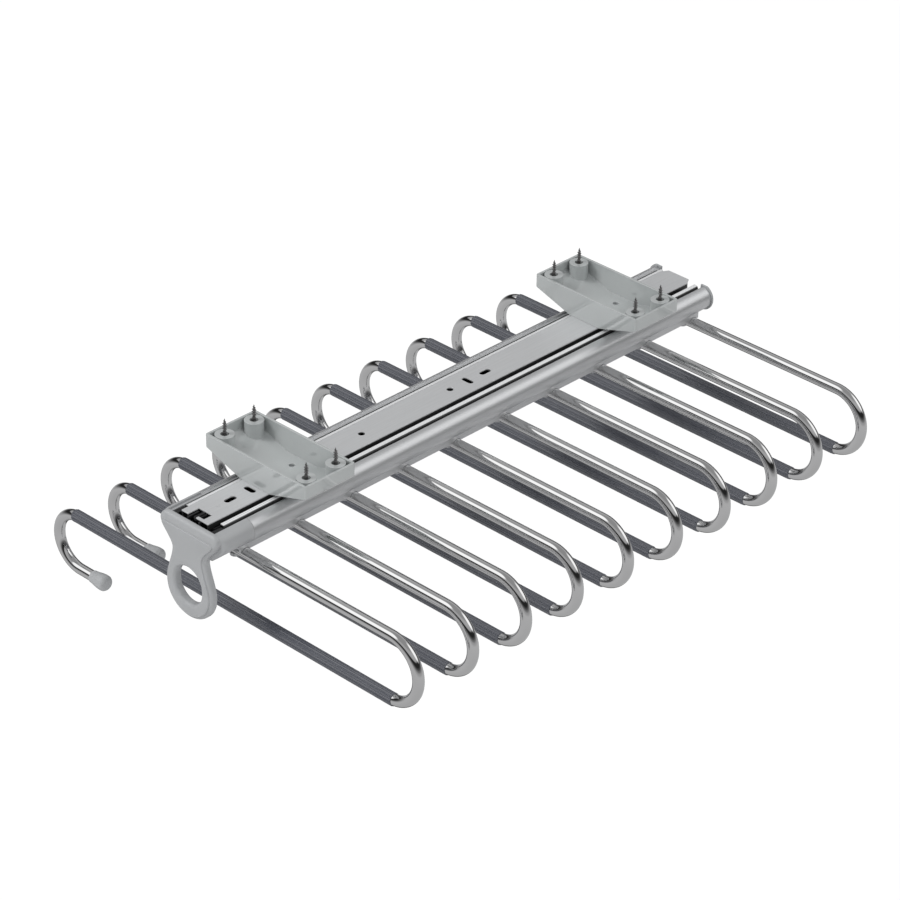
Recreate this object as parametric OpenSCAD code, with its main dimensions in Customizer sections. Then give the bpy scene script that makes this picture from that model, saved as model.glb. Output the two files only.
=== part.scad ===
// Pull out trouser rack for the underside of a wardrobe shelf.
// Two plastic brackets screw up into the shelf and carry a ball bearing slide. An aluminium
// channel runs forward on the slide, and wire hangers with grip sleeves hang crosswise under it.
// The origin lies in the shelf plane, at the centre of the front bracket's four screws.
// X runs along the hangers, Y runs into the wardrobe and Z points up. All sizes are millimetres.

/* [Shelf brackets] */
// Length of a bracket across the rack
bracket_l = 90.5; // [86:0.5:104]
// Depth of a bracket along the rack
bracket_d = 42.6; // [41:0.2:52]
// Height of a bracket, from the shelf down to the rail
bracket_h = 19; // [17.5:0.5:26]
// Height of a bracket's end walls
bracket_end_h = 9; // [8:0.5:10]
// Length of the flat part of a bracket's floor
bracket_floor_l = 26.6; // [25:0.2:32]
// Thickness of a bracket's side walls
bracket_wall = 1.8; // [1.4:0.1:2]
// Thickness of a bracket's floor
bracket_floor_t = 2.4; // [2:0.1:3]
// Rounding of a bracket's upright corners
bracket_corner_r = 1.6; // [1:0.1:2]
// Distance from the slide's rear end to the rear bracket's centre
rear_bracket_margin = 75; // [60:0.5:110]

/* [Shelf screws] */
// Distance from a bracket's end to its screws
screw_margin_x = 8.55; // [8.4:0.05:10]
// Distance from a bracket's side to its screws
screw_margin_y = 8.8; // [8.4:0.1:9.4]
// Diameter of a screw boss
boss_d = 13; // [11.6:0.1:13]
// Diameter of the hole in a boss's top
boss_hole_d = 5.4; // [5:0.1:5.8]
// Diameter of the counterbore that takes the screw head
counterbore_d = 8.2; // [7.6:0.1:9]
// Thickness of the ledge under the shelf that the head pulls on
boss_ledge_t = 4; // [3:0.1:5]
// Diameter of a wood screw's shank
wood_screw_d = 3; // [2.6:0.1:3.6]
// Diameter of a wood screw's head
wood_screw_head_d = 6.8; // [6:0.1:7.2]
// Height of a wood screw's head
wood_screw_head_h = 2.2; // [1.8:0.1:2.6]
// How far a wood screw stands out of the bracket
wood_screw_out = 11; // [8:0.5:16]
// Length of the plain shank above the bracket
wood_screw_plain_l = 1.6; // [1:0.1:3]
// Pitch of the wood screw's thread
wood_screw_pitch = 1.1; // [0.8:0.1:1.4]
// Depth of the wood screw's thread
wood_screw_thread_h = 0.55; // [0.3:0.05:0.7]

/* [Slide] */
// Length of the slide
slide_l = 448; // [420:1:520]
// How far the slide stands out in front of the front bracket's centre
slide_overhang = 71.4; // [64:0.2:80]
// Width of the top rail's plate
plate_w = 24; // [22:0.2:24.4]
// Thickness of the rails' sheet steel
sheet_t = 1.1; // [1:0.05:1.2]
// Height of the top rail
top_rail_h = 7.9; // [7.6:0.1:9]
// Diameter of the balls
ball_d = 2.4; // [2.2:0.1:2.5]
// Depth of the upper ball rows' centres under the plate's face
upper_row_drop = 4.6; // [4.4:0.1:5]
// Depth of the lower ball rows' centres under the plate's face
lower_row_drop = 7; // [6.6:0.1:7.6]
// Depth of the bottom rail's lips under the plate's face
lip_drop = 1.85; // [1.6:0.05:2]
// Width of the bottom rail's lips
lip_w = 3.5; // [3:0.1:3.8]
// Length of a ball cage
cage_l = 150; // [142:1:160]
// Thickness of the cages' sheet
cage_t = 0.5; // [0.4:0.05:0.6]
// Distance between the balls in a row
ball_pitch = 12; // [9:0.5:12.5]
// Number of balls in a row
row_count = 12; // [6:1:12]
// Free gap between parts that slide past each other
run_gap = 0.3; // [0.25:0.05:0.4]
// How far the bottom rail's lips start behind the slide's front
lip_setback = 8; // [6:0.5:10]

/* [Slide holes] */
// Diameter of the top rail's round holes
plate_hole_d = 4.5; // [4:0.1:5]
// Width of the top rail's slots
slot_w = 4; // [3.6:0.1:4.4]
// Length of the top rail's slots
slot_l = 9; // [7.5:0.5:10]
// Distance from the slide's front to its first slot
first_slot_y = 29.4; // [28:0.2:32]
// Distance between a lengthwise slot and the crosswise slot beside it
slot_step = 16.4; // [15:0.2:17]
// Distance from the slide's front to the single round hole
first_hole_y = 142.3; // [130:0.5:160]
// Distance from the slide's rear end to the round hole beside the rear slots
rear_hole_y = 225.3; // [200:0.1:250]
// Width of the window for the release lever
window_w = 11.8; // [11:0.2:12.6]
// Length of the window
window_l = 6.6; // [6:0.2:7.4]
// Distance from the slide's front to the window
window_y = 2.2; // [2:0.1:3]
// Chamfer of the top rail's rear corners across the rail
rear_chamfer_x = 3; // [1:0.5:4]
// Chamfer of the top rail's rear corners along the rail
rear_chamfer_y = 5; // [2:0.5:6]

/* [Channel] */
// Width of a flank beside the recess
flank_w = 8.85; // [7.8:0.05:12]
// Height of the channel's flanks
flank_h = 20.5; // [19.5:0.5:24]
// Radius of the flanks' outer curve
flank_r = 8.55; // [8.2:0.05:9]
// Depth of the flanks' widest point under the rim
flank_drop = 7.75; // [7.4:0.05:8.2]
// Width of the ledge between the recess and a flank's curve
ledge_w = 2.1; // [1.6:0.1:3]
// Depth of that ledge under the rim
ledge_drop = 0.6; // [0.4:0.1:1]
// Depth of the channel's rim under the plate's face
rim_drop = 2.5; // [2:0.1:3.5]
// Width of the recess that holds the slide
recess_w = 38; // [36.6:0.2:39]
// Wall thickness of the channel
channel_wall = 1.4; // [1.2:0.1:1.8]
// Width of the channel's base
base_w = 35.2; // [32:0.2:36]
// Thickness of the base's floor, which the hangers are screwed to
base_floor_t = 2.5; // [2:0.1:3]
// Drop of the hangers' seat under the flanks
seat_drop = 2.65; // [2:0.05:4]
// Height of the base's skirts under the hangers' seat
skirt_h = 1.85; // [1:0.05:3]
// How far the channel stands out behind the slide
channel_overhang = 2.2; // [2:0.2:8]

/* [Hangers] */
// Number of hangers
hanger_count = 10; // [6:1:10]
// Diameter of the hanger wire
rod_d = 7.5; // [6.5:0.1:8]
// Distance from the centre line to the right bends' centres
bar_right = 144.5; // [120:0.5:180]
// Distance from the centre line to the left bends' centres
bar_left = 142.5; // [120:0.5:180]
// Radius of the right bends, at the wire's centre
right_bend_r = 22.7; // [18:0.1:28]
// Radius of the left bends, at the wire's centre
left_bend_r = 20.2; // [16:0.1:26]
// Distance from the cap's recess to the first hanger
first_hanger_y = 26.8; // [26.8:0.2:34]
// Distance from the last hanger to the channel's rear end
last_hanger_margin = 5.3; // [5:0.1:14]
// Distance from the left bends' centres to the ends of the tips
lower_arm_l = 26.5; // [24:0.5:60]
// Diameter of the screws that hold the hangers
hanger_screw_d = 4; // [3.5:0.1:4]
// Diameter of those screws' heads
hanger_head_d = 7; // [6:0.1:7]
// Height of those screws' heads
hanger_head_h = 2.2; // [1.8:0.1:2.6]
// Distance of those screws from the centre line
hanger_screw_x = 8; // [6:0.5:10]
// Depth of the flats under a hanger that the screw heads pull on
rod_flat_h = 1; // [0.8:0.1:1.2]

/* [Grip sleeves and tips] */
// Diameter of a grip sleeve over its ribs
sleeve_d = 8.6; // [8.4:0.1:10]
// Number of ribs round a sleeve
rib_count = 20; // [12:1:24]
// Height of a sleeve's ribs
rib_h = 0.25; // [0.1:0.05:0.25]
// How far a sleeve runs on round each bend
sleeve_overrun = 3; // [1:0.5:6]
// Diameter of a tip's neck
tip_neck_d = 8.6; // [8.4:0.1:9.6]
// Largest diameter of a tip
tip_d = 11; // [10.6:0.1:13]
// Length of a tip
tip_l = 14.5; // [13:0.5:24]
// Rounding of a tip's end
tip_round_r = 3; // [1:0.1:3.4]
// Thickness of a tip's end
tip_end_t = 4; // [3.6:0.1:5]

/* [Front cap] */
// Length of the cap's sleeve
cap_sleeve_l = 25.3; // [25.3:0.1:32]
// Thickness of the cap's front
cap_front_t = 6.3; // [4.5:0.1:8]
// Width of the cap's front at the top
cap_face_w = 51; // [50:0.5:56]
// Corner radius of the cap's front
cap_corner_r = 5; // [3:0.5:6]
// Width of the handle's waist
waist_w = 30; // [26:0.5:34]
// Depth of the waist under the rim
waist_drop = 22; // [20:0.5:25]
// Width of the pull ring
ring_d = 42; // [38:0.5:48]
// Depth of the ring's centre under the rim
ring_drop = 46.8; // [44:0.2:54]
// Width of the hole in the ring
ring_hole_d = 24; // [20:0.5:26]
// How much taller than wide the hole is
ring_hole_stretch = 2.2; // [1:0.1:4]
// How far the hole's centre lies above the ring's
ring_hole_rise = 2.6; // [2:0.1:4]
// Edge rounding of the cap's front, made in steps
cap_edge_r = 1.2; // [0.8:0.1:1.4]
// Height of the rounding along the cap's top edge
cap_top_r = 5; // [3:0.5:5.5]

/* [Rear end caps] */
// Thickness of a rear cap's flange
rear_cap_t = 1.5; // [1.2:0.1:2.5]
// How far the flange stands out round the flank
rear_cap_rim = 1.15; // [0.8:0.05:1.4]
// Length of the tongue in the flank
rear_cap_tongue_l = 8; // [6:0.5:12]

/* [Hidden] */
cut = 1;
fit_gap = 0.1;
curve_steps = 8;
round_fn = 48;
groove_gap = 0.05;
half_turn = 180;
quarter_turn = 90;

// Heights, from the shelf down. The slide is a stack of rails, cages and running gaps.
rail_top_z = -bracket_h;
top_rail_z = rail_top_z - top_rail_h;
upper_cage_z = top_rail_z - run_gap - cage_t;
middle_floor_z = upper_cage_z - run_gap;
middle_rail_z = middle_floor_z - sheet_t;
lower_cage_z = middle_rail_z - run_gap - cage_t;
bottom_floor_z = lower_cage_z - run_gap;
recess_z = bottom_floor_z - sheet_t;
lip_z = rail_top_z - lip_drop;
rim_z = rail_top_z - rim_drop;
flank_z = rim_z - flank_h;
flank_centre_z = rim_z - flank_drop;
ledge_z = rim_z - ledge_drop;
seat_z = flank_z - seat_drop;
skirt_z = seat_z - skirt_h;
upper_row_z = rail_top_z - upper_row_drop;
lower_row_z = rail_top_z - lower_row_drop;

// Widths, from the centre line out
ball_r = ball_d / 2;
groove_r = ball_r + groove_gap;
race_share = 0.75;
race_w = ball_d * race_share;
plate_x = plate_w / 2;
upper_row_x = plate_x + race_w / 2;
middle_x = plate_x + race_w + sheet_t;
lower_row_x = middle_x + race_w / 2;
bottom_x = middle_x + race_w + sheet_t;
recess_x = recess_w / 2;
channel_w = recess_w + 2 * flank_w;
cage_side_share = 0.45;
cage_side_t = race_w * cage_side_share;
cage_rise = 0.4;
flank_x = channel_w / 2 - flank_r;
ledge_x = recess_x + ledge_w;
base_x = base_w / 2;

// Places along the rack
slide_front_y = -slide_overhang;
slide_rear_y = slide_front_y + slide_l;
front_play = 1.3;
recess_y = slide_front_y - front_play;
channel_y = recess_y + cap_sleeve_l;
channel_end_y = slide_rear_y + channel_overhang;
bracket_spacing = slide_rear_y - rear_bracket_margin;
screw_spacing_x = bracket_l - 2 * screw_margin_x;
screw_spacing_y = bracket_d - 2 * screw_margin_y;
middle_setback = 2;
cage_start_y = slide_front_y + slide_l / 2 - cage_l / 2;
first_ball_y = cage_start_y + (cage_l - (row_count - 1) * ball_pitch) / 2;
hanger_y = recess_y + first_hanger_y;
last_hanger_y = channel_end_y - last_hanger_margin;
hanger_pitch = (last_hanger_y - hanger_y) / (hanger_count - 1);

// Heights of a hanger's three straight parts
rod_r = rod_d / 2;
top_rod_z = seat_z - rod_r;
bar_z = top_rod_z - 2 * right_bend_r;
lower_rod_z = bar_z - 2 * left_bend_r;
rod_end_gap = 0.6;
rod_end_x = -(base_x - channel_wall - rod_end_gap);

// Carries an outline drawn in X and Z along the rack, from one Y to another
module along_y(y0, y1) {
    translate([0, y1, 0]) rotate([quarter_turn, 0, 0]) linear_extrude(y1 - y0) children();
}

// Draws its children on the right and, mirrored, on the left
module both_sides() {
    children();
    mirror([1, 0, 0]) children();
}

// A rectangle from its lowest and highest corners
module box_outline(low, high) {
    translate(low) square([high[0] - low[0], high[1] - low[1]]);
}

// A U shaped section, from its web's outer and inner faces to its flanges' ends
module u_outline(x, side_t, outer_z, inner_z, end_z) {
    polygon([[-x, end_z], [-x, outer_z], [x, outer_z], [x, end_z], [x - side_t, end_z],
             [x - side_t, inner_z], [side_t - x, inner_z], [side_t - x, end_z]]);
}

// A round bar along X, from one end to the other
module bar_along_x(x0, x1, r) {
    translate([x0, 0, 0]) rotate([0, quarter_turn, 0]) cylinder(r = r, h = x1 - x0, $fn = round_fn);
}

// A cutter for a slot along X, tall enough for any plate
module slot_cutter(l, w) {
    cube([l - w, w, bracket_h], center = true);
    for (s = [-1, 1]) {
        translate([s * (l - w) / 2, 0, 0])
            cylinder(d = w, h = bracket_h, center = true, $fn = round_fn);
    }
}

// A point on a cubic curve through four control points
function curve_point(p, t) =
    pow(1 - t, 3) * p[0] + 3 * t * pow(1 - t, 2) * p[1] + 3 * t * t * (1 - t) * p[2] + pow(t, 3) * p[3];

// The shelf brackets. The side seen from the front is a flat floor with wings that rise to the ends.
floor_screw_share = 0.237;
floor_screw_y = bracket_d * floor_screw_share;
plate_screw_d = 3.9;
plate_screw_head_d = 7;
plate_screw_head_h = 1.8;

module bracket_side_outline() {
    polygon([[-bracket_l / 2, 0], [-bracket_l / 2, -bracket_end_h], [-bracket_floor_l / 2, -bracket_h],
             [bracket_floor_l / 2, -bracket_h], [bracket_l / 2, -bracket_end_h], [bracket_l / 2, 0]]);
}

module bracket_hollow_outline() {
    inner_x = bracket_l / 2 - bracket_wall;
    floor_x = bracket_floor_l / 2;
    inner_floor_z = -bracket_h + bracket_floor_t;
    inner_end_z = -bracket_end_h + bracket_wall;
    polygon([[-inner_x, cut], [-inner_x, inner_end_z], [-floor_x, inner_floor_z],
             [floor_x, inner_floor_z], [inner_x, inner_end_z], [inner_x, cut]]);
}

module bracket_plan() {
    square([bracket_l - 2 * bracket_corner_r, bracket_d], center = true);
    square([bracket_l, bracket_d - 2 * bracket_corner_r], center = true);
    for (sx = [-1, 1], sy = [-1, 1]) {
        translate([sx * (bracket_l / 2 - bracket_corner_r), sy * (bracket_d / 2 - bracket_corner_r)])
            circle(bracket_corner_r, $fn = round_fn);
    }
}

module at_screws() {
    for (sx = [-1, 1], sy = [-1, 1]) {
        translate([sx * screw_spacing_x / 2, sy * screw_spacing_y / 2, 0]) children();
    }
}

module bracket(y) {
    inner_d = bracket_d - 2 * bracket_wall;
    translate([0, y, 0]) difference() {
        intersection() {
            along_y(-bracket_d / 2, bracket_d / 2) bracket_side_outline();
            translate([0, 0, -bracket_h]) linear_extrude(bracket_h) bracket_plan();
            union() {
                difference() {
                    translate([-bracket_l / 2, -bracket_d / 2, -bracket_h])
                        cube([bracket_l, bracket_d, bracket_h]);
                    along_y(-inner_d / 2, inner_d / 2) bracket_hollow_outline();
                }
                at_screws() translate([0, 0, -bracket_h])
                    cylinder(d = boss_d, h = bracket_h, $fn = round_fn);
            }
        }
        at_screws() {
            translate([0, 0, -bracket_h]) cylinder(d = boss_hole_d, h = bracket_h + cut, $fn = round_fn);
            translate([0, 0, -bracket_h])
                cylinder(d = counterbore_d, h = bracket_h - boss_ledge_t, $fn = round_fn);
        }
        for (s = [-1, 1]) {
            translate([0, s * floor_screw_y, -bracket_h - cut])
                cylinder(d = plate_screw_d, h = bracket_floor_t + 2 * cut, $fn = round_fn);
        }
    }
}

module front_bracket() { color("silver") bracket(0); }
module rear_bracket() { color("silver") bracket(bracket_spacing); }

// A wood screw points up out of its boss: head under the ledge, plain shank, ringed thread and tip
module wood_screw() {
    shank_r = wood_screw_d / 2;
    root_r = shank_r - wood_screw_thread_h;
    turns = floor((wood_screw_out - wood_screw_plain_l) / wood_screw_pitch) - 1;
    recess_share = 0.45;
    recess_r = wood_screw_head_d * recess_share / 2;
    recess_h = wood_screw_head_h / 2;
    thread_points = [for (k = [0:turns - 1]) for (p = [[root_r, 0], [shank_r, wood_screw_pitch / 2]])
        [p[0], wood_screw_plain_l + k * wood_screw_pitch + p[1]]];
    head_z = -boss_ledge_t - wood_screw_head_h;
    rotate_extrude($fn = round_fn) polygon(concat(
        [[0, head_z + recess_h], [recess_r, head_z], [wood_screw_head_d / 2, head_z],
         [wood_screw_head_d / 2, -boss_ledge_t], [shank_r, -boss_ledge_t], [shank_r, wood_screw_plain_l]],
        thread_points,
        [[root_r, wood_screw_plain_l + turns * wood_screw_pitch], [0, wood_screw_out]]));
}

module bracket_screws(y) { translate([0, y, 0]) at_screws() wood_screw(); }
module front_bracket_screws() { color("dimgray") bracket_screws(0); }
module rear_bracket_screws() { color("dimgray") bracket_screws(bracket_spacing); }

// Short screws under the plate, up into the brackets' floors
module slide_screws() {
    color("gainsboro") for (y = [0, bracket_spacing], s = [-1, 1]) {
        translate([0, y + s * floor_screw_y, rail_top_z - sheet_t - plate_screw_head_h]) {
            cylinder(d = plate_screw_head_d, h = plate_screw_head_h, $fn = round_fn);
            cylinder(d = plate_screw_d, h = plate_screw_head_h + sheet_t + bracket_floor_t / 2,
                     $fn = round_fn);
        }
    }
}

// The release lever lies under the plate and shows in its window
lever_t = 1.6;
lever_w = 8;
lever_pivot_setback = 19;
lever_pivot_y = slide_front_y + lever_pivot_setback;
lever_hook_r = 2.6;
lever_ridge_w = 2;
lever_play = 0.1;
lever_pin_d = 2.4;
lever_head_d = 4.4;
lever_head_t = 0.6;
window_margin = 0.5;
notch_w = 6.9;
lever_top_z = rail_top_z - sheet_t - run_gap / 3;

// The top rail is fixed to the brackets. Its ball grooves face outwards.
module top_rail_outline() {
    difference() {
        u_outline(plate_x, sheet_t, rail_top_z, rail_top_z - sheet_t, top_rail_z);
        both_sides() translate([upper_row_x, upper_row_z]) circle(groove_r, $fn = round_fn);
    }
}

module top_rail() {
    color("lightgray") difference() {
        along_y(slide_front_y, slide_rear_y) top_rail_outline();
        for (y = [slide_front_y + first_slot_y, slide_rear_y - rear_hole_y + 2 * slot_step]) {
            translate([0, y, rail_top_z]) rotate([0, 0, quarter_turn]) slot_cutter(slot_l, slot_w);
        }
        for (y = [slide_front_y + first_slot_y, slide_rear_y - rear_hole_y]) {
            translate([0, y + slot_step, rail_top_z]) slot_cutter(slot_l, slot_w);
        }
        for (y = [slide_front_y + first_hole_y, slide_rear_y - rear_hole_y]) {
            translate([0, y, rail_top_z])
                cylinder(d = plate_hole_d, h = bracket_h, center = true, $fn = round_fn);
        }
        for (y = [0, bracket_spacing], s = [-1, 1]) {
            translate([0, y + s * floor_screw_y, rail_top_z - sheet_t - cut])
                cylinder(d = plate_screw_d, h = sheet_t + 2 * cut, $fn = round_fn);
        }
        translate([0, lever_pivot_y, rail_top_z - sheet_t - cut])
            cylinder(d = lever_pin_d, h = sheet_t + 2 * cut, $fn = round_fn);
        translate([-window_w / 2, slide_front_y + window_y, rail_top_z - sheet_t - cut])
            cube([window_w, window_l, sheet_t + 2 * cut]);
        translate([-window_w / 2, slide_front_y - cut, rail_top_z - sheet_t - cut])
            cube([notch_w, window_y + 2 * cut, sheet_t + 2 * cut]);
        both_sides() translate([0, 0, rail_top_z - bracket_h / 2]) linear_extrude(bracket_h)
            polygon([[plate_x - rear_chamfer_x, slide_rear_y], [plate_x, slide_rear_y - rear_chamfer_y],
                     [plate_x + cut, slide_rear_y - rear_chamfer_y], [plate_x + cut, slide_rear_y + cut],
                     [plate_x - rear_chamfer_x, slide_rear_y + cut]]);
    }
}

// The middle rail runs half as far as the channel
module middle_rail_outline() {
    difference() {
        u_outline(middle_x, sheet_t, middle_rail_z, middle_floor_z, lip_z - sheet_t - run_gap);
        both_sides() {
            translate([upper_row_x, upper_row_z]) circle(groove_r, $fn = round_fn);
            translate([lower_row_x, lower_row_z]) circle(groove_r, $fn = round_fn);
        }
    }
}

module middle_rail() {
    color("gainsboro") along_y(slide_front_y + middle_setback, slide_rear_y) middle_rail_outline();
}

// The bottom rail is screwed to the channel. Its lips curl in over the middle rail.
rail_screw_count = 4;
rail_screw_margin = 60;
rail_screw_d = 3.6;
rail_screw_head_d = 6.4;
rail_screw_step = (slide_l - 2 * rail_screw_margin) / (rail_screw_count - 1);

module at_rail_screws() {
    for (i = [0:rail_screw_count - 1]) {
        translate([0, slide_front_y + rail_screw_margin + i * rail_screw_step, recess_z]) children();
    }
}

module bottom_rail_outline() {
    lip_r = 2 * sheet_t;
    difference() {
        union() {
            box_outline([-bottom_x, recess_z], [bottom_x, bottom_floor_z]);
            both_sides() {
                box_outline([bottom_x - sheet_t, recess_z], [bottom_x, lip_z - lip_r]);
                box_outline([bottom_x - lip_w, lip_z - sheet_t], [bottom_x - lip_r, lip_z]);
                intersection() {
                    translate([bottom_x - lip_r, lip_z - lip_r]) difference() {
                        circle(lip_r, $fn = round_fn);
                        circle(lip_r - sheet_t, $fn = round_fn);
                    }
                    box_outline([bottom_x - lip_r, lip_z - lip_r], [bottom_x, lip_z]);
                }
            }
        }
        both_sides() translate([lower_row_x, lower_row_z]) circle(groove_r, $fn = round_fn);
    }
}

module bottom_rail() {
    color("whitesmoke") difference() {
        along_y(slide_front_y + lip_setback, slide_rear_y) bottom_rail_outline();
        at_rail_screws() cylinder(d1 = rail_screw_d, d2 = rail_screw_head_d, h = sheet_t, $fn = round_fn);
    }
}

module rail_screws() {
    color("gainsboro") at_rail_screws() {
        cylinder(d1 = rail_screw_d, d2 = rail_screw_head_d, h = sheet_t, $fn = round_fn);
        translate([0, 0, -2 * channel_wall]) cylinder(d = rail_screw_d, h = 2 * channel_wall, $fn = round_fn);
    }
}

// Ball cages are U shaped strips with a hole for each ball
module cage(row_x, row_z, floor_z) {
    side_x = row_x + cage_side_t / 2;
    difference() {
        along_y(cage_start_y, cage_start_y + cage_l)
            u_outline(side_x, cage_side_t, floor_z, floor_z + cage_t, row_z + ball_r + cage_rise);
        at_balls(row_x, row_z) rotate([0, quarter_turn, 0])
            cylinder(r = ball_r + fit_gap, h = race_w, center = true, $fn = round_fn);
    }
}

module at_balls(row_x, row_z) {
    for (s = [-1, 1], i = [0:row_count - 1]) {
        translate([s * row_x, first_ball_y + i * ball_pitch, row_z]) children();
    }
}

module upper_ball_cage() { color("dimgray") cage(upper_row_x, upper_row_z, upper_cage_z); }
module lower_ball_cage() { color("dimgray") cage(lower_row_x, lower_row_z, lower_cage_z); }
module upper_balls() { color("white") at_balls(upper_row_x, upper_row_z) sphere(ball_r, $fn = round_fn); }
module lower_balls() { color("white") at_balls(lower_row_x, lower_row_z) sphere(ball_r, $fn = round_fn); }

module release_lever() {
    hook_y = slide_front_y + lever_hook_r;
    ridge_y = slide_front_y + window_y + window_margin;
    body_y = recess_y + finger_l + finger_gap;
    color("black") translate([0, 0, lever_top_z - lever_t]) difference() {
        union() {
            translate([-lever_w / 2, body_y, 0]) cube([lever_w, lever_pivot_y - body_y, lever_t]);
            translate([0, lever_pivot_y, 0]) cylinder(d = lever_w, h = lever_t, $fn = round_fn);
            translate([-lever_ridge_w, hook_y, 0]) cube([2 * lever_ridge_w, lever_pivot_y - hook_y, lever_t]);
            translate([0, hook_y, 0]) cylinder(r = lever_hook_r, h = lever_t, $fn = round_fn);
            translate([-lever_ridge_w / 2, ridge_y, 0])
                cube([lever_ridge_w, window_l - 2 * window_margin, lever_t + sheet_t]);
        }
        translate([0, lever_pivot_y, -cut])
            cylinder(r = lever_pin_d / 2 + groove_gap, h = lever_t + 2 * cut, $fn = round_fn);
    }
}

module lever_rivet() {
    color("silver") translate([0, lever_pivot_y, 0]) {
        translate([0, 0, lever_top_z - lever_t - lever_play])
            cylinder(d = lever_pin_d, h = rail_top_z - lever_top_z + lever_t + lever_play, $fn = round_fn);
        translate([0, 0, lever_top_z - lever_t - lever_play - lever_head_t])
            cylinder(d = lever_head_d, h = lever_head_t, $fn = round_fn);
    }
}

// The front buffer fills the recess in front of the rails and grips the lever's hook
buffer_bar_t = 1.2;
finger_w = 1.6;
finger_l = 9;
finger_gap = 1.6;

module front_buffer() {
    arm_x = recess_x - fit_gap;
    arm_z = rim_z - sheet_t;
    front_y = recess_y + fit_gap;
    finger_x = lever_hook_r + finger_gap;
    color("black") union() {
        translate([-arm_x, front_y, recess_z])
            cube([2 * arm_x, buffer_bar_t, top_rail_z - recess_z - run_gap]);
        both_sides() {
            translate([middle_x + run_gap, front_y, recess_z])
                cube([arm_x - middle_x - run_gap, slide_front_y + lip_setback - run_gap - front_y,
                      arm_z - recess_z]);
            translate([finger_x, front_y, top_rail_z - cut])
                cube([finger_w, buffer_bar_t, lever_top_z - top_rail_z + cut]);
            translate([finger_x, front_y, lever_top_z - lever_t])
                cube([finger_w, finger_l, lever_t]);
        }
    }
}

// The channel's section: round hollow flanks that slope in to a skirted base, a recess for the slide
// with a ledge along each side, and a chamber under the recess
function slope_turn(r) = let (to_base = [base_x - flank_x, flank_z - flank_centre_z])
    atan2(to_base[1], to_base[0]) + acos(r / norm(to_base));
function slope_end(r) = [flank_x, flank_centre_z] + r * [cos(slope_turn(r)), sin(slope_turn(r))];
slope_top = slope_end(flank_r);
slope_rise = (slope_top[1] - flank_z) / (slope_top[0] - base_x);
function inner_slope_z(x) = flank_z + (x - base_x) * slope_rise + channel_wall * norm([1, slope_rise]);

module flank_outline(inset) {
    r = flank_r - inset;
    difference() {
        both_sides() {
            translate([flank_x, flank_centre_z]) circle(r, $fn = round_fn);
            polygon([[0, flank_z], [base_x, flank_z], slope_end(r), [flank_x, flank_centre_z],
                     [0, flank_centre_z]]);
        }
        box_outline([-ledge_x, ledge_z], [ledge_x, rail_top_z]);
    }
}

module recess_outline() {
    box_outline([-recess_x, recess_z], [recess_x, rail_top_z]);
}

module flank_chamber_outline(gap) {
    intersection() {
        translate([flank_x, flank_centre_z]) circle(flank_r - channel_wall - gap, $fn = round_fn);
        box_outline([recess_x + channel_wall + gap, flank_z], [channel_w, ledge_z - channel_wall - gap]);
    }
}

module chamber_outline() {
    low_x = base_x - channel_wall;
    floor_z = seat_z + base_floor_t;
    roof_z = recess_z - channel_wall;
    both_sides() polygon([[0, floor_z], [low_x, floor_z], [low_x, inner_slope_z(low_x)],
                          [recess_x, inner_slope_z(recess_x)], [recess_x, roof_z], [0, roof_z]]);
}

module channel_outline() {
    difference() {
        union() {
            flank_outline(0);
            box_outline([-base_x, skirt_z], [base_x, flank_z + channel_wall]);
        }
        recess_outline();
        both_sides() flank_chamber_outline(0);
        chamber_outline();
        box_outline([-base_x + channel_wall, skirt_z - cut], [base_x - channel_wall, seat_z]);
    }
}

// The base runs on under the cap, where the flanks are milled away
tongue_l = 3;

module base_outline() {
    intersection() {
        channel_outline();
        box_outline([-base_x, skirt_z - cut], [base_x, flank_z + channel_wall]);
    }
}

module at_hangers() {
    for (i = [0:hanger_count - 1]) translate([0, hanger_y + i * hanger_pitch, 0]) children();
}

module at_hanger_screws() {
    for (s = [-1, 1]) translate([s * hanger_screw_x, 0, 0]) children();
}

module channel() {
    color("lightgray") difference() {
        union() {
            along_y(channel_y, channel_end_y) channel_outline();
            along_y(channel_y - tongue_l, channel_y) base_outline();
        }
        at_hangers() {
            translate([0, 0, top_rod_z]) bar_along_x(base_x - 2 * channel_wall, channel_w, rod_r + fit_gap);
            at_hanger_screws() translate([0, 0, seat_z - cut])
                cylinder(d = hanger_screw_d, h = base_floor_t + 2 * cut, $fn = round_fn);
        }
        at_rail_screws() translate([0, 0, -2 * channel_wall])
            cylinder(d = rail_screw_d, h = 2 * channel_wall + cut, $fn = round_fn);
    }
}

// The front cap: a sleeve that carries on the flanks, tongues into them and a front with a pull ring.
cap_tongue_l = 14;
cap_steps = 3;
corner_z = rim_z - cap_corner_r;
waist_z = rim_z - waist_drop;
ring_z = rim_z - ring_drop;
shoulder_share = 0.36;
hip_share = 0.3;
blend_l = 4;
blend_in = 2.3;

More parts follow.
